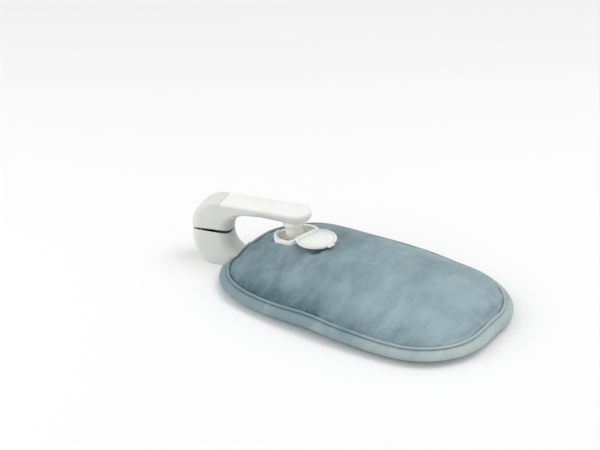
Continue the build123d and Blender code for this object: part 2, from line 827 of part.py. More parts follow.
def make_neck():
    """White trumpet neck from the arm's belly down into the port."""
    bend = math.sqrt(0.5)
    rise = flare_top - neck_top
    swell = flare_radius - neck_radius
    profile = Wire([
        Line((0, 0, nose_bottom), (nose_radius, 0, nose_bottom)),
        Line((nose_radius, 0, nose_bottom), (nose_radius, 0, nose_top)),
        Line((nose_radius, 0, nose_top), (neck_radius, 0, nose_top + 2 * (neck_radius - nose_radius))),
        Line((neck_radius, 0, nose_top + 2 * (neck_radius - nose_radius)), (neck_radius, 0, neck_top)),
        ThreePointArc((neck_radius, 0, neck_top),
                      (neck_radius + swell * (1 - bend), 0, neck_top + rise * bend),
                      (flare_radius, 0, flare_top)),
        Line((flare_radius, 0, flare_top), (flare_radius, 0, neck_reach)),
        Line((flare_radius, 0, neck_reach), (0, 0, neck_reach)),
        Line((0, 0, neck_reach), (0, 0, nose_bottom)),
    ])
    neck = Pos(plug_x, 0, 0) * revolve(Face(profile), Axis.Z)
    neck -= disc(plug_x, 0, nose_bottom - 1, nose_bottom + nose_bore_depth, nose_bore_radius)
    neck = PORT * neck - CLAMP * upper_form()
    return neck.solids().sort_by(Axis.Z)[0]


def make_carrier():
    """Insulator in the plug's nose that holds the contact pins."""
    low = nose_bottom + contact_gap
    carrier = disc(plug_x, 0, low, nose_bottom + nose_bore_depth, nose_bore_radius - carrier_gap)
    for x, y in around(contact_count, contact_circle, plug_x):
        carrier -= disc(x, y, low - 1, nose_bottom + nose_bore_depth + 1, contact_pin_radius)
    return PORT * carrier


def make_plug_pins():
    """Sprung contact pins in the plug's nose."""
    pins = []
    for x, y in around(contact_count, contact_circle, plug_x):
        pins.append(PORT * disc(x, y, nose_bottom, nose_bottom + nose_bore_depth, contact_pin_radius))
    return group(pins)


def inlet_block(grow):
    """Outside of the mains inlet, growing inwards from the back of the elbow."""
    half = inlet_width / 2 + grow
    low = inlet_height - inlet_tall / 2 - grow
    high = inlet_height + inlet_tall / 2 + grow
    return block(elbow_outer_x - 1, elbow_outer_x + inlet_depth + grow, -half, half, low, high)


def make_inlet():
    """Two pin mains inlet, its mouth flush with the elbow's back."""
    inlet = inlet_block(0) & lower_form()
    half = inlet_width / 2 - inlet_wall
    low = inlet_height - inlet_tall / 2 + inlet_wall
    high = inlet_height + inlet_tall / 2 - inlet_wall
    inlet -= block(elbow_outer_x - 1, elbow_outer_x + inlet_cavity_depth, -half, half, low, high)
    for side in (-1, 1):
        y = side * inlet_pin_spacing / 2
        inlet -= Pos(elbow_outer_x + inlet_depth, y, inlet_height) * Cylinder(
            inlet_pin_radius, 2 * inlet_depth, rotation=(0, 90, 0))
    return CLAMP * inlet


def make_inlet_pins():
    """Contact pins of the mains inlet."""
    pins = []
    front = elbow_outer_x + inlet_cavity_depth - inlet_pin_length
    back = elbow_outer_x + inlet_depth + inlet_pin_tail
    for side in (-1, 1):
        y = side * inlet_pin_spacing / 2
        pin = Cylinder(inlet_pin_radius, back - front, rotation=(0, 90, 0))
        pins.append(CLAMP * Pos((front + back) / 2, y, inlet_height) * pin)
    return group(pins)


def make_switch():
    """Cut-off switch beside the hinge, which opens the circuit when the clamp opens."""
    x = hinge_x + switch_offset
    rear = x - switch_front
    near = switch_y - switch_width / 2
    top = seam_height - switch_drop
    low = top - switch_height
    switch = block(rear, rear + switch_length, near, elbow_half_width, low, top)
    switch &= lower_form(shell_wall + fit_gap)
    bore_low = seam_height - plunger_gap - plunger_reach - 1
    return switch - disc(x, switch_y, bore_low, top + 1, plunger_radius + plunger_sleeve)


def make_plunger():
    """The switch's sprung plunger, its domed tip following the upper half."""
    x = hinge_x + switch_offset
    tip = seam_height - plunger_gap - plunger_radius
    plunger = disc(x, switch_y, tip + plunger_radius - plunger_reach, tip, plunger_radius)
    return CLAMP * (plunger + Pos(x, switch_y, tip) * Sphere(plunger_radius))


def make_cam():
    """Flat rib of the upper half that the plunger follows, level with the hinge pin."""
    rear = hinge_x + switch_offset - cam_front
    near = switch_y - cam_width / 2
    top = seam_height + cam_height
    rib = block(rear, rear + cam_length, near, near + cam_width, seam_height, top)
    rib += block(rear, rear + cam_length, near, elbow_half_width, seam_height + cam_arm_lift, top)
    return rib & upper_form(shell_wall + fit_gap)


def make_board():
    """Control board on the base plate, in the lower arm."""
    base = base_lift + base_plate_thickness
    return block(head_x - board_length, head_x, -board_width / 2, board_width / 2, base, base + board_thickness)


def make_relay():
    """Relay on the control board."""
    x = head_x - board_length + relay_offset
    base = base_lift + base_plate_thickness + board_thickness
    return block(x, x + relay_length, -relay_width / 2, relay_width / 2, base, base + relay_height)


# Export

def build_nodes():
    """Every named piece of the heating pad."""
    top_panel, bottom_panel = make_cover()
    piping = make_piping()
    bag = make_bag()
    cup = PORT * make_port_cup()
    ring_low = cage_top - clamp_ring_thickness
    clamp_ring = PORT * ring(ring_low, cage_top, cage_radius + running_gap, port_flange_radius)
    cage = PORT * make_cage()
    nodes = {
        "cover_top_panel": top_panel - piping,
        "cover_bottom_panel": bottom_panel,
        "ridge_piping": piping,
        "water_bag": bag,
        "water_fill": make_water(),
        "port_cup": cup,
        "port_gasket": PORT * ring(seat_top, flange_bottom, seat_hole_radius, port_flange_radius),
        "port_clamp_ring": clamp_ring,
        "port_ring_screws": make_ring_screws(),
        "contact_plate": PORT * make_contact_plate(),
        "port_contacts": make_port_contacts(),
        "filler_stopper": PORT * make_stopper(),
        "heater_cage": cage,
        "heating_element": PORT * make_element(),
        "thermostat": PORT * make_thermostat(),
        "thermal_fuse": PORT * make_fuse(),
        "port_lid": make_lid(),
        "lid_hinge_pin": make_lid_pin(),
        "lid_seal": make_lid_seal(),
        "clamp_upper_shell": CLAMP * make_upper_shell(),
        "arm_top_plate": make_top_plate(),
        "plug_neck": make_neck(),
        "plug_contact_carrier": make_carrier(),
        "plug_contact_pins": make_plug_pins(),
        "clamp_lower_shell": CLAMP * make_lower_shell(),
        "clamp_base_plate": make_base_plate(),
        "rubber_feet": make_feet(),
        "clamp_hinge_pin": CLAMP * tube_along_y(
            hinge_x, seam_height, hinge_pin_radius, -hinge_half_length, hinge_half_length),
        "hinge_bushes": make_bushes(),
        "closing_spring": make_spring(),
        "mains_inlet": make_inlet(),
        "inlet_pins": make_inlet_pins(),
        "cutoff_switch": CLAMP * make_switch(),
        "switch_plunger": make_plunger(),
        "switch_cam": CLAMP * make_cam(),
        "control_board": CLAMP * make_board(),
        "power_relay": CLAMP * make_relay(),
    }
    return nodes


os.makedirs("parts", exist_ok=True)
for name, shape in build_nodes().items():
    export_step(shape, f"parts/{name}.step")
    print(name, len(shape.solids()), round(shape.volume))
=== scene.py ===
"""Looks of an electric heating pad: a plush cushion with a port in its top and a C shaped charging clamp."""

import bisect
import logging
import math
from collections.abc import Callable, Container
from dataclasses import dataclass, field
from enum import Enum

import bmesh
import bpy
from mathutils import Matrix, Vector, noise
from mathutils.bvhtree import BVHTree


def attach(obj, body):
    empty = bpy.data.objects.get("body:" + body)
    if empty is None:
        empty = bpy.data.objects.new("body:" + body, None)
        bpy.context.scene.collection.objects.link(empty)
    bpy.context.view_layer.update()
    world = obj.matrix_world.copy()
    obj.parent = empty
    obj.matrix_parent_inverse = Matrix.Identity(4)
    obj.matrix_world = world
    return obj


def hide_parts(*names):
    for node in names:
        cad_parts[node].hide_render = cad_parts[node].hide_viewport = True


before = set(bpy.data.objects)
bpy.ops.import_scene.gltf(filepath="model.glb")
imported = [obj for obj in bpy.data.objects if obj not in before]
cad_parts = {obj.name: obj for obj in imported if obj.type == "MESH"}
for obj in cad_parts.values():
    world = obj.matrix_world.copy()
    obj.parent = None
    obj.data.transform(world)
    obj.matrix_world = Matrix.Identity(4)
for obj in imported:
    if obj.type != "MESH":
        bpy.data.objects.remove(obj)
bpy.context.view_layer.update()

log = logging.getLogger("heating_pad")

Pair = tuple[float, float]
Triple = tuple[float, float, float]
Colour = Triple
Socket = bpy.types.NodeSocket


class Body(Enum):
    """The bodies that the new pieces ride on."""

    BASE = "base"
    CLAMP_UPPER = "clamp_upper"
    LID = "lid"


class Slot(Enum):
    """The record's material slots, listed with the mouldings; the new pieces take their finish from their
    own materials.
    """

    PLUSH = "plush"
    PIPING = "plush_piping"
    WHITE = "white_plastic"
    GREY = "grey_plastic"


# Small helpers


def shade(red: int, green: int, blue: int) -> Colour:
    """Turns a colour as it looks on a screen into the linear values that a shader takes.

    Args:
        red: Red, 0 to 255.
        green: Green, 0 to 255.
        blue: Blue, 0 to 255.

    Returns:
        The linear colour.
    """
    def linear(value: int) -> float:
        """One channel."""
        share = value / 255
        return share / 12.92 if share <= 0.04045 else ((share + 0.055) / 1.055) ** 2.4

    return (linear(red), linear(green), linear(blue))


def ease(value: float, low: float, high: float) -> float:
    """Smooth step from 0 at low to 1 at high.

    Args:
        value: The value to place.
        low: Where the step starts.
        high: Where it ends; may be below low.

    Returns:
        A share from 0 to 1.
    """
    share = min(1.0, max(0.0, (value - low) / (high - low)))
    return share * share * (3 - 2 * share)


def hump(value: float, centre: float, width: float) -> float:
    """A smooth bump of height 1 at centre, almost 0 two widths away.

    Args:
        value: The value to place.
        centre: The bump's middle.
        width: Its half width.

    Returns:
        A share from 0 to 1.
    """
    return math.exp(-((value - centre) / width) ** 2)


def new_piece(name: str, form: bmesh.types.BMesh, body: Body) -> bpy.types.Object:
    """Makes an object of a finished bmesh and lets it ride on a CAD body.

    Args:
        name: The piece's name.
        form: The bmesh, which is freed.
        body: The CAD body it moves with.

    Returns:
        The new object, shaded smooth.
    """
    mesh = bpy.data.meshes.new(name)
    form.to_mesh(mesh)
    form.free()
    piece = bpy.data.objects.new(name, mesh)
    bpy.context.scene.collection.objects.link(piece)
    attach(piece, body.value)
    smooth(piece)
    return piece


def smooth(piece: bpy.types.Object) -> None:
    """Shades all faces of a piece smooth."""
    piece.data.polygons.foreach_set("use_smooth", [True] * len(piece.data.polygons))


def soften(piece: bpy.types.Object) -> None:
    """Gives a piece one level of subdivision, the same in the view and in the render.

    Args:
        piece: The object.
    """
    modifier = piece.modifiers.new("soft", "SUBSURF")
    modifier.levels = 1
    modifier.render_levels = 1


def remesh(piece: bpy.types.Object, size: float) -> None:
    """Gives a closed form an even mesh.

    Args:
        piece: The object.
        size: Length of a cell, in metres.
    """
    modifier = piece.modifiers.new("remesh", "REMESH")
    modifier.mode = "VOXEL"
    modifier.voxel_size = size
    graph = bpy.context.evaluated_depsgraph_get()
    mesh = bpy.data.meshes.new_from_object(piece.evaluated_get(graph))
    piece.modifiers.remove(modifier)
    piece.data = mesh


def extrude(form: bmesh.types.BMesh,
            edges: list[bmesh.types.BMEdge]) -> tuple[set[bmesh.types.BMVert], list[bmesh.types.BMEdge]]:
    """Extrudes a ring of edges, leaving the new ring where the old one is.

    Args:
        form: The form that is changed.
        edges: The ring's edges.

    Returns:
        The new vertices, and the edges of the new ring.
    """
    made = bmesh.ops.extrude_edge_only(form, edges=edges)["geom"]
    fresh = {item for item in made if isinstance(item, bmesh.types.BMVert)}
    ring = [item for item in made
            if isinstance(item, bmesh.types.BMEdge) and item.verts[0] in fresh and item.verts[1] in fresh]
    return fresh, ring


def partner(vert: bmesh.types.BMVert, others: Container[bmesh.types.BMVert]) -> bmesh.types.BMVert:
    """The vertex among others that an edge joins to this one.

    Args:
        vert: The vertex.
        others: The vertices to choose from.

    Returns:
        The vertex at the other end.
    """
    return next(edge.other_vert(vert) for edge in vert.link_edges if edge.other_vert(vert) in others)


def band(rows: list[list[Vector]]) -> bmesh.types.BMesh:
    """Extrudes one closed ring through rows of points and closes both ends.

    Args:
        rows: The rings' points, each row as long as the others.

    Returns:
        The closed form.
    """
    form = bmesh.new()
    ring = bmesh.ops.create_circle(form, segments=len(rows[0]), radius=1)["verts"]
    edges = list(form.edges)
    for number, row in enumerate(rows):
        if number:
            made, edges = extrude(form, edges)
            ring = [partner(old, made) for old in ring]
        for vert, spot in zip(ring, row):
            vert.co = spot
    bmesh.ops.holes_fill(form, edges=form.edges, sides=0)
    bmesh.ops.recalc_face_normals(form, faces=form.faces)
    return form


# Finishes


class Graph:
    """Builds the node tree of one material."""

    # The colour sockets of a mix node go by number, because its other kinds have sockets of the same names
    FIRST_COLOUR = 6
    SECOND_COLOUR = 7
    MIXED_COLOUR = 2

    def __init__(self, name: str) -> None:
        """Makes an empty material with its shader and output.

        Args:
            name: The material's name.
        """
        self.material = bpy.data.materials.new(name)
        self.material.use_nodes = True
        self.tree = self.material.node_tree
        self.tree.nodes.clear()
        output = self.tree.nodes.new("ShaderNodeOutputMaterial")
        self.shader = self.tree.nodes.new("ShaderNodeBsdfPrincipled")
        self.join(self.shader.outputs[0], output.inputs["Surface"])
        self.place = self.tree.nodes.new("ShaderNodeTexCoord").outputs["Object"]

    def join(self, start: Socket, end: Socket) -> None:
        """Links an output to an input."""
        self.tree.links.new(start, end)

    def feed(self, name: str, value: Socket) -> None:
        """Links an output to one of the shader's inputs."""
        self.join(value, self.shader.inputs[name])

    def cloud(self, scale: float, detail: float, rough: float = 0.5, stretch: Triple = (1, 1, 1)) -> Socket:
        """Noise on the object's coordinates.

        Args:
            scale: Repeats per metre.
            detail: Octaves.
            rough: How strong the finer octaves are.
            stretch: A factor on each axis.

        Returns:
            The noise's value.
        """
        mapping = self.tree.nodes.new("ShaderNodeMapping")
        mapping.inputs["Scale"].default_value = stretch
        self.join(self.place, mapping.inputs["Vector"])
        node = self.tree.nodes.new("ShaderNodeTexNoise")
        node.inputs["Scale"].default_value = scale
        node.inputs["Detail"].default_value = detail
        node.inputs["Roughness"].default_value = rough
        self.join(mapping.outputs["Vector"], node.inputs["Vector"])
        return node.outputs[0]

    def ramp(self, value: Socket, low: float, high: float, start: float = 0.0, end: float = 1.0) -> Socket:
        """Maps a value smoothly from one range to another, clamped at both ends.

        Args:
            value: The value to map.
            low: Where the mapping starts.
            high: Where it ends.
            start: The result at low.
            end: The result at high.

        Returns:
            The mapped value.
        """
        node = self.tree.nodes.new("ShaderNodeMapRange")
        node.interpolation_type = "SMOOTHSTEP"
        node.inputs["From Min"].default_value = low
        node.inputs["From Max"].default_value = high
        node.inputs["To Min"].default_value = start
        node.inputs["To Max"].default_value = end
        self.join(value, node.inputs["Value"])
        return node.outputs[0]

    def axis(self, name: str) -> Socket:
        """One coordinate of the object.

        Args:
            name: X, Y or Z.

        Returns:
            The coordinate in metres.
        """
        node = self.tree.nodes.new("ShaderNodeSeparateXYZ")
        self.join(self.place, node.inputs[0])
        return node.outputs[name]

    def times(self, value: Socket, factor: float) -> Socket:
        """A value times a fixed factor.

        Args:
            value: The value.
            factor: What it is multiplied by.

        Returns:
            The product.
        """
        node = self.tree.nodes.new("ShaderNodeMath")
        node.operation = "MULTIPLY"
        self.join(value, node.inputs[0])
        node.inputs[1].default_value = factor
        return node.outputs[0]

    def total(self, *values: Socket) -> Socket:
        """Adds values up.

        Args:
            values: What is added.

        Returns:
            The sum.
        """
        result, *others = values
        for value in others:
            node = self.tree.nodes.new("ShaderNodeMath")
            node.operation = "ADD"
            self.join(result, node.inputs[0])
            self.join(value, node.inputs[1])
            result = node.outputs[0]
        return result

    def blend(self, share: Socket, first: Colour, second: Colour) -> Socket:
        """Mixes two colours by a share.

        Args:
            share: 0 gives the first colour, 1 the second.
            first: The first colour.
            second: The second colour.

        Returns:
            The mixed colour.
        """
        node = self.tree.nodes.new("ShaderNodeMix")
        node.data_type = "RGBA"
        self.join(share, node.inputs["Factor"])
        node.inputs[self.FIRST_COLOUR].default_value = (*first, 1.0)
        node.inputs[self.SECOND_COLOUR].default_value = (*second, 1.0)
        return node.outputs[self.MIXED_COLOUR]

    def bump(self, height: Socket, strength: float, distance: float, under: Socket | None = None) -> Socket:
        """A bump from a height.

        Args:
            height: The height's value.
            strength: How much of the bump shows, 0 to 1.
            distance: How high a value of 1 stands, in metres.
            under: Another bump that this one lies on.

        Returns:
            The bumped normal.
        """
        node = self.tree.nodes.new("ShaderNodeBump")
        node.inputs["Strength"].default_value = strength
        node.inputs["Distance"].default_value = distance
        self.join(height, node.inputs["Height"])
        if under is not None:
            self.join(under, node.inputs["Normal"])
        return node.outputs[0]


@dataclass(frozen=True)
class Finish:
    """What every finish has: a name, and a material that is made once.

    Attributes:
        name: The material's name.
    """

    name: str

    def material(self) -> bpy.types.Material:
        """Makes the material at its first use.

        Returns:
            The finished material.
        """
        if self.name not in bpy.data.materials:
            self.paint(Graph(self.name))
        return bpy.data.materials[self.name]

    def paint(self, graph: Graph) -> None:
        """Fills the material's nodes in; each kind of finish has its own way."""
        raise NotImplementedError


@dataclass(frozen=True)
class MouldedPlastic(Finish):
    """Moulded plastic with a fine sparked grain and faint handling marks.

    Attributes:
        colour: Linear colour.
        roughness: Mean roughness.
        grain: Height of the grain, in metres.
        coat: Weight of the clear coat.
    """

    colour: Colour
    roughness: float = 0.42
    grain: float = 0.00004
    coat: float = 0.0

    def paint(self, graph: Graph) -> None:
        """Fills the material's nodes in.

        Args:
            graph: The material's node tree.
        """
        darker = tuple(value * 0.93 for value in self.colour)
        tint = graph.ramp(graph.cloud(scale=14, detail=3), low=0.35, high=0.65)
        graph.feed("Base Color", graph.blend(tint, darker, self.colour))
        marks = graph.cloud(scale=60, detail=4, rough=0.6)
        rough = graph.ramp(marks, low=0.3, high=0.7, start=self.roughness - 0.05, end=self.roughness + 0.07)
        graph.feed("Roughness", rough)
        grain = graph.cloud(scale=2200, detail=2)
        graph.feed("Normal", graph.bump(grain, strength=0.35, distance=self.grain))
        graph.shader.inputs["Coat Weight"].default_value = self.coat


@dataclass(frozen=True)
class Metal(Finish):
    """Bare metal with fine drawn lines.

    Attributes:
        colour: Linear colour.
        roughness: Mean roughness.
    """

    colour: Colour
    roughness: float = 0.3

    def paint(self, graph: Graph) -> None:
        """Fills the material's nodes in.

        Args:
            graph: The material's node tree.
        """
        darker = tuple(value * 0.8 for value in self.colour)
        lines = graph.cloud(scale=400, detail=3, stretch=(1, 1, 12))
        graph.feed("Base Color", graph.blend(graph.ramp(lines, low=0.3, high=0.7), darker, self.colour))
        rough = graph.ramp(lines, low=0.3, high=0.7, start=self.roughness - 0.08, end=self.roughness + 0.1)
        graph.feed("Roughness", rough)
        graph.shader.inputs["Metallic"].default_value = 1.0


@dataclass(frozen=True)
class Plush(Finish):
    """Short velvety plush, lightly brushed: mottled nap, soft lines, a pale sheen, and painted light and
    shade.

    Attributes:
        dark: Linear colour at the dark end: the painted shade and the plush's own darker marks.
        light: Linear colour at the light end: the painted light and the plush's own lighter marks.
        along: How much painted light is added towards +X.
        across: How much painted light is added towards +Y, which leaves the near slope in painted shade.
        dim_x: Where the painted light along X starts, in metres.
        lit_x: Where it ends.
        dim_y: Where the painted light along Y starts.
        lit_y: Where it ends.
        mottle: Strength of the broad blotches.
        brushed: Strength of the brushed lines.
        speckle: Strength of the single hairs.
    """

    dark: Colour
    light: Colour
    along: float = 0.4
    across: float = 0.45
    dim_x: float = -0.17
    lit_x: float = 0.16
    dim_y: float = -0.118
    lit_y: float = -0.06
    mottle: float = 0.13
    brushed: float = 0.08
    speckle: float = 0.1

    def paint(self, graph: Graph) -> None:
        """Fills the material's nodes in.

        Args:
            graph: The material's node tree.
        """
        blotches = graph.cloud(scale=17, detail=4, rough=0.62, stretch=(1.0, 0.8, 1))
        lines = graph.cloud(scale=60, detail=4, rough=0.62, stretch=(1.3, 0.4, 1))
        strokes = graph.ramp(lines, low=0.3, high=0.7, start=-self.brushed, end=self.brushed)
        hairs = graph.cloud(scale=900, detail=2)
        # The X and Y ramps are painted light and shade: lighter to the right and far side, darker on the
        # left and the near slope. The blotches, strokes and hairs are the plush's own uneven tone.
        shade_and_nap = graph.total(
            graph.ramp(graph.axis("X"), self.dim_x, self.lit_x, end=self.along),
            graph.ramp(graph.axis("Y"), self.dim_y, self.lit_y, end=self.across),
            graph.ramp(blotches, low=0.34, high=0.68, start=-self.mottle, end=self.mottle),
            strokes,
            graph.times(hairs, self.speckle),
        )
        graph.feed("Base Color", graph.blend(shade_and_nap, self.dark, self.light))
        soft = graph.bump(strokes, strength=1.0, distance=0.0009)
        graph.feed("Normal", graph.bump(hairs, strength=0.5, distance=0.0002, under=soft))
        for name, value in (
            ("Roughness", 0.85),
            ("Sheen Weight", 0.15),
            ("Sheen Roughness", 0.4),
            ("Sheen Tint", (0.75, 0.85, 0.88, 1)),
            ("Specular IOR Level", 0.2),
        ):
            graph.shader.inputs[name].default_value = value


WHITE = MouldedPlastic("white_moulding", shade(238, 239, 234), roughness=0.36, grain=0.00003, coat=0.05)
GREY = MouldedPlastic("grey_moulding", shade(217, 219, 213), roughness=0.46, grain=0.00005)
DARK = MouldedPlastic("dark_moulding", shade(52, 52, 54), roughness=0.5)
SEAL = MouldedPlastic("pale_rubber", shade(222, 222, 218), roughness=0.7)
FOOT = MouldedPlastic("black_rubber", shade(70, 72, 72), roughness=0.8)
BOARD = MouldedPlastic("green_board", shade(40, 92, 62), roughness=0.5)
RELAY = MouldedPlastic("blue_case", shade(60, 66, 110), roughness=0.4)
BAG = MouldedPlastic("grey_film", shade(190, 194, 196), roughness=0.4)
WATER = MouldedPlastic("clear_water", shade(215, 228, 234), roughness=0.2)
STEEL = Metal("drawn_steel", shade(196, 197, 199))
BRASS = Metal("bright_brass", shade(226, 190, 120), roughness=0.25)
# Plush finishes with painted light and shade: the crown is lighter to the right and far side and darker on
# the near slope, and the rim and piping are lighter towards their right end.
PLUSH = Plush("crown_plush_painted_light", shade(54, 80, 92), shade(154, 176, 182))
EDGE_PAINTED_LIGHT = {"along": 0.5, "across": 0.04, "dim_x": -0.01, "lit_x": 0.19}
RIM_PLUSH = Plush("rim_plush_painted_light", shade(126, 148, 154), shade(198, 209, 208), **EDGE_PAINTED_LIGHT)
PIPING_PLUSH = Plush("piping_plush_painted_light", shade(124, 148, 154), shade(192, 204, 204), **EDGE_PAINTED_LIGHT)


# What the cushion is shaped by


@dataclass
class Outline:
    """The cushion's plan: eight arcs, walked at an even pace.

    Attributes:
        length: Along X.
        width: Along Y.
        side_radius: Radius of the two long sides.
        end_radius: Radius of the two ends.
        corner_radius: Radius of the four corners.
        steps: How many points the walk has.
        points: The walked points.
        normals: Their outward directions.
    """

    length: float = 0.360
    width: float = 0.236
    side_radius: float = 0.764
    end_radius: float = 1.5
    corner_radius: float = 0.088
    steps: int = 360
    points: list[Vector] = field(default_factory=list)
    normals: list[Vector] = field(default_factory=list)

    def __post_init__(self) -> None:
        """Walks the eight arcs."""
        arcs = self.arcs()
        total = sum(radius * (end - start) for _, radius, start, end in arcs)
        for index in range(self.steps):
            walk = total * index / self.steps
            for centre, radius, start, end in arcs:
                reach = radius * (end - start)
                if walk <= reach:
                    normal = Vector((math.cos(start + walk / radius), math.sin(start + walk / radius)))
                    self.points.append(centre + radius * normal)
                    self.normals.append(normal)
                    break
                walk -= reach

    def arcs(self) -> list[tuple[Vector, float, float, float]]:
        """Finds the arcs, which run into each other without a corner.

        Returns:
            The arcs in order, each with its centre, radius, first and last angle.
        """
        side_r, end_r, corner_r = self.side_radius, self.end_radius, self.corner_radius
        side_y = self.width / 2 - side_r
        end_x = self.length / 2 - end_r
        span = math.hypot(end_x, side_y)
        along = ((side_r - corner_r) ** 2 - (end_r - corner_r) ** 2 + span ** 2) / (2 * span)
        across = math.sqrt((side_r - corner_r) ** 2 - along ** 2)
        x = (along * end_x - across * side_y) / span
        y = side_y - (along * side_y + across * end_x) / span
        low = math.atan2(y, x - end_x)
        high = math.atan2(y - side_y, x)
        return [
            (Vector((end_x, 0)), end_r, -low, low),
            (Vector((x, y)), corner_r, low, high),
            (Vector((0, side_y)), side_r, high, math.pi - high),
            (Vector((-x, y)), corner_r, math.pi - high, math.pi - low),
            (Vector((-end_x, 0)), end_r, math.pi - low, math.pi + low),
            (Vector((-x, -y)), corner_r, math.pi + low, math.pi + high),
            (Vector((0, -side_y)), side_r, math.pi + high, 2 * math.pi - high),
            (Vector((x, -y)), corner_r, 2 * math.pi - high, 2 * math.pi - low),
        ]

    def at(self, index: int, inset: float) -> Vector:
        """The place in plan of one step of the walk, drawn in by inset."""
        return self.points[index] - self.normals[index] * inset


@dataclass(frozen=True)
class ClampRoom:
    """Where the clamp's lower half presses into the cushion, in the clamp's own frame.

    Attributes:
        x: Where the clamp's frame stands along X.
        y: Where it stands along Y.
        turn: Its turn about Z, in radians.
        tip_x: Middle of the lower arm's round end.
        half_width: Half the arm's width.
        arm_top: Height of the lower arm.
        bend_x: Where the arm starts to bend up into the elbow.
        bend_radius: Radius of that bend.
        bend_limit: Share of the radius that the cushion may follow.
        last_x: How far back the cushion reaches before it is pushed together.
        pushed: What is left of the length beyond that.
        spread: Width over which the pressed fabric eases out.
        gap: Clearance between fabric and clamp.
    """

    x: float = -0.103681
    y: float = 0.001782
    turn: float = math.radians(15)
    tip_x: float = 0.0024
    half_width: float = 0.019
    arm_top: float = 0.014
    bend_x: float = -0.0545
    bend_radius: float = 0.027
    bend_limit: float = 0.9
    last_x: float = -0.067
    pushed: float = 0.1
    spread: float = 0.014
    gap: float = 0.0012

    def press(self, spot: Vector) -> Vector:
        """Moves a point of the cushion clear of the clamp.

        Args:
            spot: The point.

        Returns:
            The moved point.
        """
        turned = Matrix.Rotation(-self.turn, 3, "Z") @ (spot - Vector((self.x, self.y, 0)))
        beyond = max(0.0, turned.x - self.tip_x)
        away = math.hypot(beyond, turned.y) - self.half_width - self.gap
        share = 1 - ease(away, 0, self.spread)
        if share <= 0:
            return spot
        if turned.x < self.last_x:
            turned.x += (self.last_x + self.pushed * (turned.x - self.last_x) - turned.x) * share
        reach = min(0.0, max(turned.x - self.bend_x, -self.bend_limit * self.bend_radius))
        floor = self.arm_top + self.bend_radius - math.sqrt(self.bend_radius ** 2 - reach ** 2) + self.gap
        turned.z = max(turned.z, floor * share)
        return Matrix.Rotation(self.turn, 3, "Z") @ turned + Vector((self.x, self.y, 0))


@dataclass(frozen=True)
class PortPlace:
    """The leaning port: the plan of its cup, and how the fabric is drawn up round it.

    Attributes:
        origin: Middle of the cup's rim.
        turn: The port's turn about Z, in radians.
        lean: Its lean towards the hinge, in radians.
        radius: Outer radius of the cup.
        hinge_cut: Distance of the flat at the lid's hinge.
        latch_cut: Distance of the flat at the latch.
        shown_wall: How much of the wall shows above the fabric.
        latch_drop: How much more shows on the latch's side.
        hinge_drop: How much more shows on the hinge's side.
        far_drop: How much more shows on the far side.
        mound_width: Width of the fabric's rise round the cup.
        gap: Clearance between the fabric's edge and the wall.
    """

    origin: Vector = field(default_factory=lambda: Vector((-0.100, 0.001, 0.055)))
    turn: float = math.radians(-12)
    lean: float = math.radians(-8)
    radius: float = 0.0285
    hinge_cut: float = 0.0155
    latch_cut: float = 0.027
    shown_wall: float = 0.0025
    latch_drop: float = 0.006
    hinge_drop: float = 0.0045
    far_drop: float = 0.009
    mound_width: float = 0.0135
    gap: float = 0.0005

    def wall(self, angle: float) -> float:
        """Distance from the port's axis to the cup's outside.

        Args:
            angle: The direction, 0 towards the hinge.

        Returns:
            The distance in metres.
        """
        side = math.cos(angle)
        cut = self.hinge_cut if side > 0 else self.latch_cut
        return min(self.radius, cut / max(abs(side), 0.01))

    def plan(self, x: float, y: float) -> Pair:
        """Distance and direction of a place from the port's axis, seen from above."""
        local = Matrix.Rotation(-self.turn, 2) @ Vector((x - self.origin.x, y - self.origin.y))
        return local.length, math.atan2(local.y, local.x)

    def spot(self, reach: float, angle: float) -> Pair:
        """The place at a distance and direction from the port's axis, seen from above."""
        angle += self.turn
        return self.origin.x + reach * math.cos(angle), self.origin.y + reach * math.sin(angle)

    def rim(self, angle: float) -> float:
        """Height of the cup's rim in one direction."""
        return self.origin.z - self.wall(angle) * math.cos(angle) * math.sin(self.lean)

    def meets(self, angle: float) -> float:
        """Height at which the fabric meets the cup's wall.

        Args:
            angle: The direction, 0 towards the hinge.

        Returns:
            The height in metres.
        """
        side, far = math.cos(angle), math.sin(angle)
        drop = self.latch_drop * max(0.0, -side) + self.hinge_drop * max(0.0, side)
        drop += self.far_drop * max(0.0, far)
        return self.rim(angle) - self.shown_wall - drop

    def leaned(self, angle: float, height: float) -> Vector:
        """How far the leaning wall has moved in plan, at a height below the rim."""
        shift = (height - self.rim(angle)) * math.tan(self.lean)
        return Vector((shift * math.cos(self.turn), shift * math.sin(self.turn), 0))


@dataclass(frozen=True)
class Crease:
    """A long fold in the crown's fabric: a narrow ridge with a wider valley beside it.

    Attributes:
        start: Where it starts, in plan.
        end: Where it ends.
        side: 1 or -1, for the side of the line that the ridge lies on.
        strength: Height of the ridge, in metres.
        ridge: How far the ridge lies beside the line.
        ridge_width: Its width.
        valley: How far the valley lies beside the line.
        valley_width: Its width.
        valley_share: Its depth as a share of the ridge's height.
    """

    start: Pair
    end: Pair
    side: int
    strength: float
    ridge: float = 0.002
    ridge_width: float = 0.0035
    valley: float = -0.005
    valley_width: float = 0.0045
    valley_share: float = 1.5

    def rise(self, x: float, y: float) -> float:
        """How far the fold lifts or sinks the fabric.

        Args:
            x: A place along X.
            y: The place along Y.

        Returns:
            The rise in metres.
        """
        line = Vector(self.end) - Vector(self.start)
        offset = Vector((x, y)) - Vector(self.start)
        along = offset.dot(line) / line.length_squared
        beside = offset.cross(line.normalized()) * self.side
        fade = ease(along, low=-0.25, high=0.15) * ease(along, low=1.25, high=0.85)
        up = hump(beside, self.ridge, self.ridge_width)
        down = self.valley_share * hump(beside, self.valley, self.valley_width)
        return self.strength * fade * (up - down)


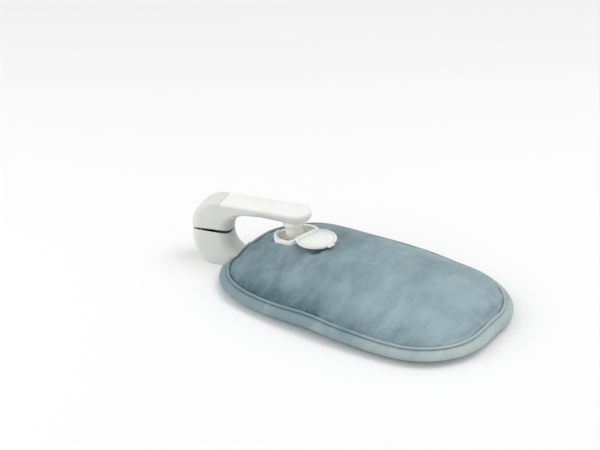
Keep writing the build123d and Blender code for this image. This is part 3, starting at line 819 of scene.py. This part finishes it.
@dataclass(frozen=True)
class Ripple:
    """Smooth uneven waves over the plan.

    Attributes:
        size: Their height, in metres.
        scale: Waves per unit along X and Y.
        layer: Which layer of the noise is read.
    """

    size: float
    scale: Pair
    layer: float

    def at(self, x: float, y: float) -> float:
        """Height of the waves at one place."""
        return self.size * noise.noise(Vector((x * self.scale[0], y * self.scale[1], self.layer)))


@dataclass(frozen=True)
class Swell:
    """A round change of the fabric about one place.

    Attributes:
        place: Its middle, in plan.
        size: Its size there, in metres.
        spread: Its width.
    """

    place: Pair
    size: float
    spread: float

    def at(self, spot: Vector) -> float:
        """Its size at another place in plan."""
        return self.size * hump((spot - Vector(self.place)).length, 0, self.spread)


@dataclass(frozen=True)
class SewnEdge:
    """How the sewn edge leaves its even course.

    Attributes:
        drift: Waves inwards and outwards.
        roll: Waves up and down.
        near_lift: How far it rises in the middle of the near side.
        near_draw: How far it is drawn in there.
        near_x: Where that middle is.
        near_width: Width of the rise.
        corner: How far it is drawn in at the far corner away from the clamp.
    """

    drift: Ripple = Ripple(0.0007, (30, 30), 8.3)
    roll: Ripple = Ripple(0.0009, (22, 22), 5.1)
    near_lift: float = 0.0034
    near_draw: float = 0.0016
    near_x: float = -0.010
    near_width: float = 0.042
    corner: Swell = Swell((0.135, 0.098), 0.0036, 0.05)

    def wander(self, spot: Vector) -> Pair:
        """How far the edge leaves its course.

        Args:
            spot: A place on the outline, in plan.

        Returns:
            How far inwards and how far upwards.
        """
        near = hump(spot.x, self.near_x, self.near_width) * ease(spot.y, low=-0.05, high=-0.10)
        inward = self.drift.at(spot.x, spot.y) + self.near_draw * near + self.corner.at(spot)
        return inward, self.roll.at(spot.x, spot.y) + self.near_lift * near


@dataclass(frozen=True)
class Filling:
    """The pressure that fills the crown's cloth, and what is kept of its result.

    Attributes:
        mass: Mass of a point of the cloth, in kilograms.
        pull: Resistance to being drawn out or pushed together.
        shear: Resistance to shear.
        bend: Resistance to bending.
        pressure: Pressure from inside.
        shrink: How much the cloth shrinks; below 0 it has slack.
        quality: Steps to a frame.
        frames: How long it is filled.
        rounds: How often moves are averaged to find the broad swelling.
        tamed: Share of the swelling that is taken off.
        gain: How much the puckers that remain are strengthened.
        still_y: Where along Y the puckers have died out.
        full_y: Where they are whole.
        cap: The longest move of a point, in metres.
    """

    mass: float = 0.2
    pull: float = 12
    shear: float = 4
    bend: float = 0.4
    pressure: float = 4
    shrink: float = -0.03
    quality: int = 5
    frames: int = 20
    rounds: int = 24
    tamed: float = 0.9
    gain: float = 1.6
    still_y: float = 0.07
    full_y: float = 0.02
    cap: float = 0.006

    def inflate(self, piece: bpy.types.Object, held: Callable[[Vector], bool]) -> None:
        """Fills a piece as cloth under pressure and keeps its puckers, without its swelling.

        Args:
            piece: The object, with an even mesh.
            held: Tells whether a point is pinned.
        """
        start = [vert.co.copy() for vert in piece.data.vertices]
        pinned = [index for index, spot in enumerate(start) if held(spot)]
        moves = [after - before for before, after in zip(start, self.simulate(piece, pinned))]
        log.info("cloth moved up to %.1f mm", 1000 * max(move.length for move in moves))
        swelling = spread_out(piece, moves, self.rounds)
        for vert, before, move, broad in zip(piece.data.vertices, start, moves, swelling):
            move = (move - self.tamed * broad) * self.gain * ease(before.y, self.still_y, self.full_y)
            if move.length > self.cap:
                move = move * (self.cap / move.length)
            vert.co = before + move

    def simulate(self, piece: bpy.types.Object, pinned: list[int]) -> list[Vector]:
        """Runs the cloth and takes it off again.

        Args:
            piece: The object.
            pinned: Which of its points stay where they are.

        Returns:
            Where each point ends.
        """
        piece.vertex_groups.new(name="pins").add(pinned, 1.0, "REPLACE")
        cloth = piece.modifiers.new("cloth", "CLOTH")
        settings = cloth.settings
        settings.quality = self.quality
        settings.mass = self.mass
        settings.tension_stiffness = self.pull
        settings.compression_stiffness = self.pull
        settings.shear_stiffness = self.shear
        settings.bending_stiffness = self.bend
        settings.use_pressure = True
        settings.uniform_pressure_force = self.pressure
        settings.shrink_min = self.shrink
        settings.vertex_group_mass = "pins"
        settings.effector_weights.gravity = 0
        scene = bpy.context.scene
        for number in range(1, self.frames + 1):
            scene.frame_set(number)
        graph = bpy.context.evaluated_depsgraph_get()
        ended = [vert.co.copy() for vert in piece.evaluated_get(graph).data.vertices]
        piece.modifiers.remove(cloth)
        scene.frame_set(1)
        return ended


def spread_out(piece: bpy.types.Object, values: list[Vector], rounds: int) -> list[Vector]:
    """Averages a vector per point with its neighbours again and again.

    Args:
        piece: The object whose edges join the neighbours.
        values: One vector for each point.
        rounds: How many times.

    Returns:
        The averaged vectors.
    """
    joined = [[] for _ in values]
    for edge in piece.data.edges:
        first, second = edge.vertices
        joined[first].append(second)
        joined[second].append(first)
    for _ in range(rounds):
        values = [sum((values[other] for other in near), start=own.copy()) / (len(near) + 1)
                  for own, near in zip(values, joined)]
    return values


# Cushion


# Folds from the port to the near seam
CREASES = (
    Crease((-0.088, -0.052), (-0.075, -0.101), 1, 0.0014),
    Crease((-0.060, -0.070), (-0.048, -0.104), -1, 0.0008),
    Crease((-0.020, -0.082), (-0.012, -0.106), 1, 0.0007),
    Crease((0.050, -0.080), (0.058, -0.104), -1, 0.0007),
)
# How far out each ring of the crown lies, as a share of the way to the ridge
CROWN_SHARES = (
    0.1, 0.2, 0.3, 0.4, 0.5, 0.58, 0.66, 0.74, 0.8, 0.85, 0.89, 0.92, 0.95, 0.97, 0.985, 0.995, 1.0,
)
# Inset and height of the crown's hidden rings, in millimetres
CROWN_BACK = ((12.5, 14), (15, 9.5), (30, 8), (60, 8), (90, 8))
# Inset and height of the rim's rings, in millimetres, and how much of the sewn edge's wander each takes
RIM_PROFILE = (
    (106, 16, 0), (60, 16, 0), (24, 16, 0.4), (15, 16.5, 0.9), (11, 17, 1), (8, 16.7, 1), (5, 15.7, 1),
    (2.5, 14, 1), (0.8, 12.2, 1), (0, 10.2, 1), (0.5, 8.6, 0.9), (2.5, 7.2, 0.8), (6, 5.8, 0.6),
    (12, 3.3, 0.4), (20, 0.8, 0.2), (26, 0.1, 0), *((inset, 0, 0) for inset in range(34, 107, 8)),
)
# Rings of the fabric's edge at the port: share of the way from the cup's wall to the hole, and depth
SKIRT = ((0.75, 0.0), (0.5, 0.0), (0.28, 0.0), (0.12, 0.0003), (0.04, 0.0012), (0.0, 0.0028), (0.0, 0.009))


@dataclass
class Cushion:
    """The plush cushion: simulated crown, rolled rim with the flat underside, and the sewn piping.

    Attributes:
        outline: Its plan.
        clamp: Where the clamp presses into it.
        port: Where the port stands in it.
        sewn: How its sewn edge wanders.
        filling: What puckers its crown.
        ridge_inset: How far in the ridge lies.
        ridge_height: How high it lies.
        piping_radius: Radius of the piping on it.
        piping_sides: How many sides the piping has.
        coarse: Step between the points of the outline that the crown and the rim use.
        cell: Length of a cell of the crown's mesh.
        crown_height: Height of the crown's middle.
        crown_power: How flat the crown's middle is.
        crown_softness: How steeply it comes down to the ridge.
        lid_rise: How far the fabric stands up beside the open lid.
        lobes: Broad puckers along the seam.
        puckers: Fine puckers along it.
        slack: Broad waves over the crown.
        hole_radius: Radius of the port's hole before its edge is drawn in.
        eased: Width of the fabric round the hole that is evened out.
        eased_rounds: How often it is evened out.
        seam_hold: Height above the ridge up to which the cloth is held.
        port_hold: Width round the hole in which it is held.
        tuck: How far below the ridge the crown's hidden part starts.
        bag_gap: Clearance between the crown and the water bag.
        edges: The ridge's distance from the middle, by direction.
    """

    outline: Outline = field(default_factory=Outline)
    clamp: ClampRoom = ClampRoom()
    port: PortPlace = PortPlace()
    sewn: SewnEdge = SewnEdge()
    filling: Filling = Filling()
    ridge_inset: float = 0.011
    ridge_height: float = 0.017
    piping_radius: float = 0.0018
    piping_sides: int = 8
    coarse: int = 2
    cell: float = 0.004
    crown_height: float = 0.0512
    crown_power: float = 2.0
    crown_softness: float = 0.8
    lid_rise: Swell = Swell((-0.058, -0.026), 0.0072, 0.030)
    lobes: Ripple = Ripple(0.0016, (9, 9), 0.4)
    puckers: Ripple = Ripple(0.0008, (22, 22), 2.7)
    slack: Ripple = Ripple(0.0009, (16, 20), 1.3)
    hole_radius: float = 0.038
    eased: float = 0.012
    eased_rounds: int = 3
    seam_hold: float = 0.0015
    port_hold: float = 0.004
    tuck: float = 0.002
    bag_gap: float = 0.0012
    edges: list[Pair] = field(default_factory=list)

    def __post_init__(self) -> None:
        """Notes the ridge's distance from the middle in each direction."""
        for index in range(self.outline.steps):
            spot = self.outline.at(index, self.ridge_inset)
            self.edges.append((math.atan2(spot.y, spot.x), spot.length))
        self.edges.sort()

    def build(self) -> None:
        """Makes and dresses the cushion's pieces."""
        rim = self.rim()
        piping = self.piping()
        crown = self.crown()
        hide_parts("cover_top_panel")
        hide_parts("cover_bottom_panel")
        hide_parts("ridge_piping")
        for piece, finish in ((rim, RIM_PLUSH), (crown, PLUSH), (piping, PIPING_PLUSH)):
            piece.data.materials.append(finish.material())
            log.info("made %s", piece.name)

    def share(self, x: float, y: float) -> float:
        """How far out a place lies.

        Args:
            x: The place along X.
            y: The place along Y.

        Returns:
            0 in the middle of the crown, 1 on the ridge.
        """
        turn = math.atan2(y, x)
        index = bisect.bisect(self.edges, (turn, 0.0)) % len(self.edges)
        (low, near), (high, far) = self.edges[index - 1], self.edges[index]
        part = ((turn - low) % (2 * math.pi)) / (((high - low) % (2 * math.pi)) or 1.0)
        return math.hypot(x, y) / (near + (far - near) * part)

    def dome(self, share: float) -> float:
        """Height of the plain crown, a share of the way out."""
        rise = self.crown_height - self.ridge_height
        return self.ridge_height + rise * (1 - share ** self.crown_power) ** self.crown_softness

    def top(self, x: float, y: float) -> float:
        """Height of the crown's fabric.

        Args:
            x: A place along X.
            y: The place along Y.

        Returns:
            The height, with the fabric's rise to the port and its folds.
        """
        share = min(self.share(x, y), 1.0)
        reach, angle = self.port.plan(x, y)
        wall = self.port.wall(angle)
        foot = self.dome(self.share(*self.port.spot(wall, angle)))
        mound = hump(max(0.0, reach - wall), 0, self.port.mound_width)
        height = self.dome(share) + (self.port.meets(angle) - foot) * mound
        height += self.lid_rise.at(Vector((x, y)))
        return height + self.folds(x, y, share)

    def folds(self, x: float, y: float, share: float) -> float:
        """Long folds from the port to the near seam, and soft puckers along the seam.

        Args:
            x: A place along X.
            y: The place along Y.
            share: How far out it lies.

        Returns:
            How far they lift or sink the fabric.
        """
        depth = sum(crease.rise(x, y) for crease in CREASES)
        turn = math.atan2(y, x)
        seam = ease(share, low=0.62, high=0.95) * ease(share, low=1.02, high=0.97)
        wrinkles = sum(ripple.at(math.cos(turn), math.sin(turn)) for ripple in (self.lobes, self.puckers))
        return depth + seam * wrinkles + self.slack.at(x, y) * ease(share, low=1.0, high=0.8)

    def loop(self, inset: float, height: float, step: int, follow: float) -> list[Vector]:
        """One ring of points round the outline.

        Args:
            inset: How far in from the outline.
            height: Its height.
            step: Uses every step-th point.
            follow: How much of the sewn edge's wander it takes.

        Returns:
            The ring, clear of the clamp.
        """
        ring = []
        for index in range(0, self.outline.steps, step):
            inward, lift = self.sewn.wander(self.outline.points[index])
            spot = self.outline.at(index, inset + inward * follow)
            ring.append(self.clamp.press(Vector((spot.x, spot.y, height + lift * follow))))
        return ring

    def crown_loop(self, share: float) -> list[Vector]:
        """One ring of points over the crown.

        Args:
            share: How far out it lies, 1 on the ridge.

        Returns:
            The ring.
        """
        ring = []
        for index in range(0, self.outline.steps, self.coarse):
            inward, lift = self.sewn.wander(self.outline.points[index])
            spot = self.outline.at(index, self.ridge_inset + inward) * share
            height = self.top(spot.x, spot.y) + lift * ease(share, low=0.7, high=1.0)
            ring.append(Vector((spot.x, spot.y, height)))
        return ring

    def rim(self) -> bpy.types.Object:
        """Makes the rolled rim with the underside.

        Returns:
            The rim, closed all round and over the inside.
        """
        rows = [self.loop(inset / 1000, height / 1000, self.coarse, follow)
                for inset, height, follow in RIM_PROFILE]
        piece = new_piece("cushion_rim", band(rows), Body.BASE)
        soften(piece)
        return piece

    def piping(self) -> bpy.types.Object:
        """Makes the sewn piping on the ridge.

        Returns:
            The piping, a closed tube.
        """
        rows = []
        for index in range(self.piping_sides + 1):
            turn = 2 * math.pi * index / self.piping_sides
            inset = self.ridge_inset + self.piping_radius * math.cos(turn)
            height = self.ridge_height + self.piping_radius * (1 + math.sin(turn))
            rows.append(self.loop(inset, height, 1, 1.0))
        form = band(rows)
        # The last ring lies on the first, so the two caps go and the rings are merged
        caps = [face for face in form.faces if len(face.verts) > 4]
        bmesh.ops.delete(form, geom=caps, context="FACES_ONLY")
        bmesh.ops.remove_doubles(form, verts=form.verts, dist=1e-6)
        bmesh.ops.recalc_face_normals(form, faces=form.faces)
        return new_piece("cushion_piping", form, Body.BASE)

    def crown(self) -> bpy.types.Object:
        """Makes the crowned top from a closed pillow, which is filled as cloth.

        Returns:
            The crown, with the port's hole.
        """
        rows = [self.crown_loop(share) for share in CROWN_SHARES]
        rows += [self.loop(inset / 1000, height / 1000, self.coarse, 1.0) for inset, height in CROWN_BACK]
        piece = new_piece("cushion_crown", band(rows), Body.BASE)
        remesh(piece, self.cell)
        self.filling.inflate(piece, self.held)
        form = bmesh.new()
        form.from_mesh(piece.data)
        self.clear_clamp(form)
        self.clear_bag(form)
        self.open_port(form)
        form.to_mesh(piece.data)
        form.free()
        smooth(piece)
        soften(piece)
        return piece

    def held(self, spot: Vector) -> bool:
        """Whether the cloth is held at a point: at the sewn edge, below it, and round the port."""
        reach, _ = self.port.plan(spot.x, spot.y)
        return spot.z < self.ridge_height + self.seam_hold or reach < self.hole_radius + self.port_hold

    def clear_clamp(self, form: bmesh.types.BMesh) -> None:
        """Moves the crown's hidden part clear of the clamp.

        Args:
            form: The crown, changed in place.
        """
        for vert in form.verts:
            if vert.co.z < self.ridge_height - self.tuck:
                vert.co = self.clamp.press(vert.co)

    def clear_bag(self, form: bmesh.types.BMesh) -> None:
        """Lifts the crown's top where it would sink into the water bag.

        Args:
            form: The crown, changed in place.
        """
        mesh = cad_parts["water_bag"].data
        spots = [vert.co for vert in mesh.vertices]
        bag = BVHTree.FromPolygons(spots, [face.vertices for face in mesh.polygons])
        for vert in form.verts:
            if vert.co.z > self.ridge_height:
                above = Vector((vert.co.x, vert.co.y, 2 * self.crown_height))
                spot, *_ = bag.ray_cast(above, Vector((0, 0, -1)))
                if spot is not None:
                    vert.co.z = max(vert.co.z, spot.z + self.bag_gap)

    def open_port(self, form: bmesh.types.BMesh) -> None:
        """Cuts the port's hole and draws the fabric's edge up against the cup.

        Args:
            form: The crown, changed in place.
        """
        turns = self.cut_hole(form)
        near = [vert for vert in form.verts
                if vert not in turns and vert.co.z > self.ridge_height
                and self.port.plan(*vert.co.xy)[0] < self.hole_radius + self.eased]
        for _ in range(self.eased_rounds):
            bmesh.ops.smooth_vert(form, verts=near, factor=0.5,
                                  use_axis_x=True, use_axis_y=True, use_axis_z=True)
        self.draw_up(form, turns)
        bmesh.ops.recalc_face_normals(form, faces=form.faces)

    def cut_hole(self, form: bmesh.types.BMesh) -> dict[bmesh.types.BMVert, float]:
        """Cuts a hole with an even round edge over the port.

        Args:
            form: The crown, changed in place.

        Returns:
            The vertices of the hole's edge, each with its direction from the port's axis.
        """
        inside = []
        for face in form.faces:
            middle = face.calc_center_median()
            above = face.normal.z > 0 and middle.z > self.ridge_height
            if above and self.port.plan(*middle.xy)[0] < self.hole_radius:
                inside.append(face)
        bmesh.ops.delete(form, geom=inside, context="FACES")
        ring = {vert for edge in form.edges if edge.is_boundary for vert in edge.verts}
        turns = {vert: self.port.plan(*vert.co.xy)[1] for vert in ring}
        for number, vert in enumerate(sorted(ring, key=turns.get)):
            turns[vert] = -math.pi + 2 * math.pi * (number + 0.5) / len(ring)
            x, y = self.port.spot(self.hole_radius, turns[vert])
            vert.co = (x, y, self.top(x, y))
        return turns

    def draw_up(self, form: bmesh.types.BMesh, turns: dict[bmesh.types.BMVert, float]) -> None:
        """Draws the hole's edge up to the cup's wall and tucks it down beside it.

        Args:
            form: The crown, changed in place.
            turns: The vertices of the hole's edge, each with its direction from the port's axis.
        """
        edges = [edge for edge in form.edges if edge.is_boundary]
        for share, drop in SKIRT:
            fresh, edges = extrude(form, edges)
            moved = {}
            for vert in fresh:
                turn = turns[partner(vert, turns)]
                wall = self.port.wall(turn) + self.port.gap
                x, y = self.port.spot(wall + (self.hole_radius - wall) * share, turn)
                height = self.top(x, y) - drop
                vert.co = Vector((x, y, height)) + self.port.leaned(turn, height) * (1 - share)
                moved[vert] = turn
            turns = moved


# Hard pieces


NODE_FINISH = {
    "water_bag": BAG, "water_fill": WATER,
    "port_cup": WHITE, "port_gasket": SEAL, "port_clamp_ring": WHITE,
    "port_ring_screws": STEEL, "contact_plate": DARK, "port_contacts": BRASS,
    "filler_stopper": SEAL, "heater_cage": DARK, "heating_element": STEEL,
    "thermostat": STEEL, "thermal_fuse": STEEL,
    "port_lid": WHITE, "lid_hinge_pin": STEEL, "lid_seal": SEAL,
    "clamp_upper_shell": GREY, "arm_top_plate": WHITE, "plug_neck": WHITE,
    "plug_contact_carrier": DARK, "plug_contact_pins": BRASS,
    "clamp_lower_shell": GREY, "clamp_base_plate": GREY, "rubber_feet": FOOT,
    "clamp_hinge_pin": STEEL, "hinge_bushes": BRASS, "closing_spring": STEEL,
    "mains_inlet": DARK, "inlet_pins": BRASS,
    "cutoff_switch": DARK, "switch_plunger": WHITE, "switch_cam": GREY,
    "control_board": BOARD, "power_relay": RELAY,
}


def dress_nodes() -> None:
    """Gives each CAD node its finish."""
    for name, finish in NODE_FINISH.items():
        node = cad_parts[name]
        node.data.materials.clear()
        node.data.materials.append(finish.material())
        log.info("dressed %s", name)


@dataclass(frozen=True)
class Moulding:
    """A moulded piece: the CAD form with its seams merged, its edges eased and its curves shaded smooth.

    Attributes:
        node: The CAD node it stands for.
        body: The body it rides on.
        slot: Its material slot in the record; not used.
        edge: Width of the eased edges, in metres; 0 leaves them sharp.
        seam: How near two points are merged.
        flat: Angle under which two faces count as one.
        eased_from: Angle from which an edge is eased.
        sharp_from: Angle from which an edge is shaded sharp.
    """

    node: str
    body: Body
    slot: Slot
    edge: float = 0.0004
    seam: float = 0.00002
    flat: float = math.radians(0.2)
    eased_from: float = math.radians(38)
    sharp_from: float = math.radians(32)

    def build(self) -> None:
        """Makes the piece and puts it in the node's place."""
        form = bmesh.new()
        form.from_mesh(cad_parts[self.node].data)
        bmesh.ops.remove_doubles(form, verts=form.verts, dist=self.seam)
        bmesh.ops.dissolve_limit(form, angle_limit=self.flat, verts=form.verts, edges=form.edges)
        if self.edge:
            sharp = [edge for edge in form.edges
                     if edge.is_manifold and edge.calc_face_angle() > self.eased_from]
            bmesh.ops.bevel(form, geom=sharp, offset=self.edge, segments=2, profile=0.5, affect="EDGES",
                            material=-1, clamp_overlap=True)
        bmesh.ops.recalc_face_normals(form, faces=form.faces)
        piece = new_piece(self.node + "_moulding", form, self.body)
        piece.data.set_sharp_from_angle(angle=self.sharp_from)
        piece.data.materials.append(NODE_FINISH[self.node].material())
        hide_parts(self.node)
        log.info("made %s", piece.name)


MOULDINGS = (
    Moulding("port_cup", Body.BASE, Slot.WHITE),
    Moulding("port_lid", Body.LID, Slot.WHITE),
    Moulding("plug_neck", Body.CLAMP_UPPER, Slot.WHITE),
    Moulding("clamp_upper_shell", Body.CLAMP_UPPER, Slot.GREY),
    Moulding("arm_top_plate", Body.CLAMP_UPPER, Slot.WHITE, edge=0.0),
    Moulding("clamp_lower_shell", Body.BASE, Slot.GREY),
)


# Studio


def set_up(name: str, data: bpy.types.ID, spot: Vector, towards: Vector) -> bpy.types.Object:
    """Puts a camera or a lamp in the studio.

    Args:
        name: Its name.
        data: The camera or light.
        spot: Where it stands.
        towards: The direction that it looks in.

    Returns:
        The object.
    """
    item = bpy.data.objects.new(name, data)
    bpy.context.scene.collection.objects.link(item)
    item.location = spot
    item.rotation_mode = "QUATERNION"
    item.rotation_quaternion = towards.to_track_quat("-Z", "Y")
    return item


@dataclass(frozen=True)
class Lamp:
    """A square soft lamp that looks at the origin.

    Attributes:
        name: Its name.
        spot: Where it hangs.
        size: Length of its sides, in metres.
        power: In watts.
    """

    name: str
    spot: Triple
    size: float
    power: float

    def build(self) -> None:
        """Hangs the lamp."""
        data = bpy.data.lights.new(self.name, "AREA")
        data.size = self.size
        data.energy = self.power
        spot = Vector(self.spot)
        set_up(self.name, data, spot, -spot)


@dataclass
class Studio:
    """Pale floor, soft lamps and the camera at the photograph's angle.

    Attributes:
        azimuth: Where the camera stands round the object, in degrees.
        elevation: How high it stands, in degrees.
        distance: How far it stands from its target, in metres.
        target: What it looks at.
        lens: Its focal length, in millimetres.
        sensor: Width of its sensor, in millimetres.
        near: Where its view starts.
        far: Where its view ends.
        sky: Strength of the light from the sky.
        white: Strength at which the sky looks white.
        floor_size: Half the floor's side, in metres.
        floor_grey: Linear shade of the floor.
        lamps: The two soft lamps.
    """

    azimuth: float = 34.323
    elevation: float = 28.198
    distance: float = 1.9554
    target: Triple = (-0.1564, 0.0907, 0.009)
    lens: float = 90.0
    sensor: float = 36.0
    near: float = 0.05
    far: float = 50.0
    sky: float = 0.74
    white: float = 1.0
    floor_size: float = 6.0
    floor_grey: float = 0.92
    lamps: tuple[Lamp, ...] = (
        Lamp("key", (0.6, 0.5, 1.75), size=1.2, power=10),
        Lamp("fill", (-1.3, -1.2, 0.9), size=1.5, power=11),
    )

    def build(self) -> None:
        """Sets up the whole studio."""
        self.floor()
        self.backdrop()
        for lamp in self.lamps:
            lamp.build()
        self.camera()
        bpy.context.scene.view_settings.view_transform = "Standard"

    def camera(self) -> None:
        """The camera where the photograph was taken from."""
        turn, lift = math.radians(self.azimuth), math.radians(self.elevation)
        back = Vector((math.sin(turn) * math.cos(lift), -math.cos(turn) * math.cos(lift), math.sin(lift)))
        data = bpy.data.cameras.new("photo_camera")
        data.lens = self.lens
        data.sensor_width = self.sensor
        data.clip_start, data.clip_end = self.near, self.far
        spot = Vector(self.target) + back * self.distance
        bpy.context.scene.camera = set_up("photo_camera", data, spot, -back)

    def floor(self) -> None:
        """A wide pale floor that keeps a soft shadow."""
        form = bmesh.new()
        bmesh.ops.create_grid(form, x_segments=1, y_segments=1, size=self.floor_size)
        mesh = bpy.data.meshes.new("floor")
        form.to_mesh(mesh)
        form.free()
        floor = bpy.data.objects.new("floor", mesh)
        bpy.context.scene.collection.objects.link(floor)
        graph = Graph("floor_paint")
        graph.shader.inputs["Base Color"].default_value = (self.floor_grey,) * 3 + (1,)
        graph.shader.inputs["Roughness"].default_value = 0.9
        mesh.materials.append(graph.material)

    def backdrop(self) -> None:
        """A pale sky, white to the camera and in what reflects it or lets it through."""
        world = bpy.data.worlds.new("studio")
        world.use_nodes = True
        tree = world.node_tree
        tree.nodes.clear()
        light, white = (tree.nodes.new("ShaderNodeBackground") for _ in range(2))
        for background, strength in ((light, self.sky), (white, self.white)):
            background.inputs["Color"].default_value = (1, 1, 1, 1)
            background.inputs["Strength"].default_value = strength
        mix = tree.nodes.new("ShaderNodeMixShader")
        path = tree.nodes.new("ShaderNodeLightPath")
        shown = path.outputs["Is Camera Ray"]
        for kind in ("Is Glossy Ray", "Is Transmission Ray"):
            either = tree.nodes.new("ShaderNodeMath")
            either.operation = "MAXIMUM"
            tree.links.new(shown, either.inputs[0])
            tree.links.new(path.outputs[kind], either.inputs[1])
            shown = either.outputs[0]
        output = tree.nodes.new("ShaderNodeOutputWorld")
        tree.links.new(shown, mix.inputs[0])
        tree.links.new(light.outputs[0], mix.inputs[1])
        tree.links.new(white.outputs[0], mix.inputs[2])
        tree.links.new(mix.outputs[0], output.inputs["Surface"])
        bpy.context.scene.world = world


def main() -> None:
    """Builds the whole scene."""
    logging.basicConfig(level=logging.INFO, format="%(message)s")
    Studio().build()
    dress_nodes()
    for piece in MOULDINGS:
        piece.build()
    Cushion().build()


if __name__ == "__main__":
    main()
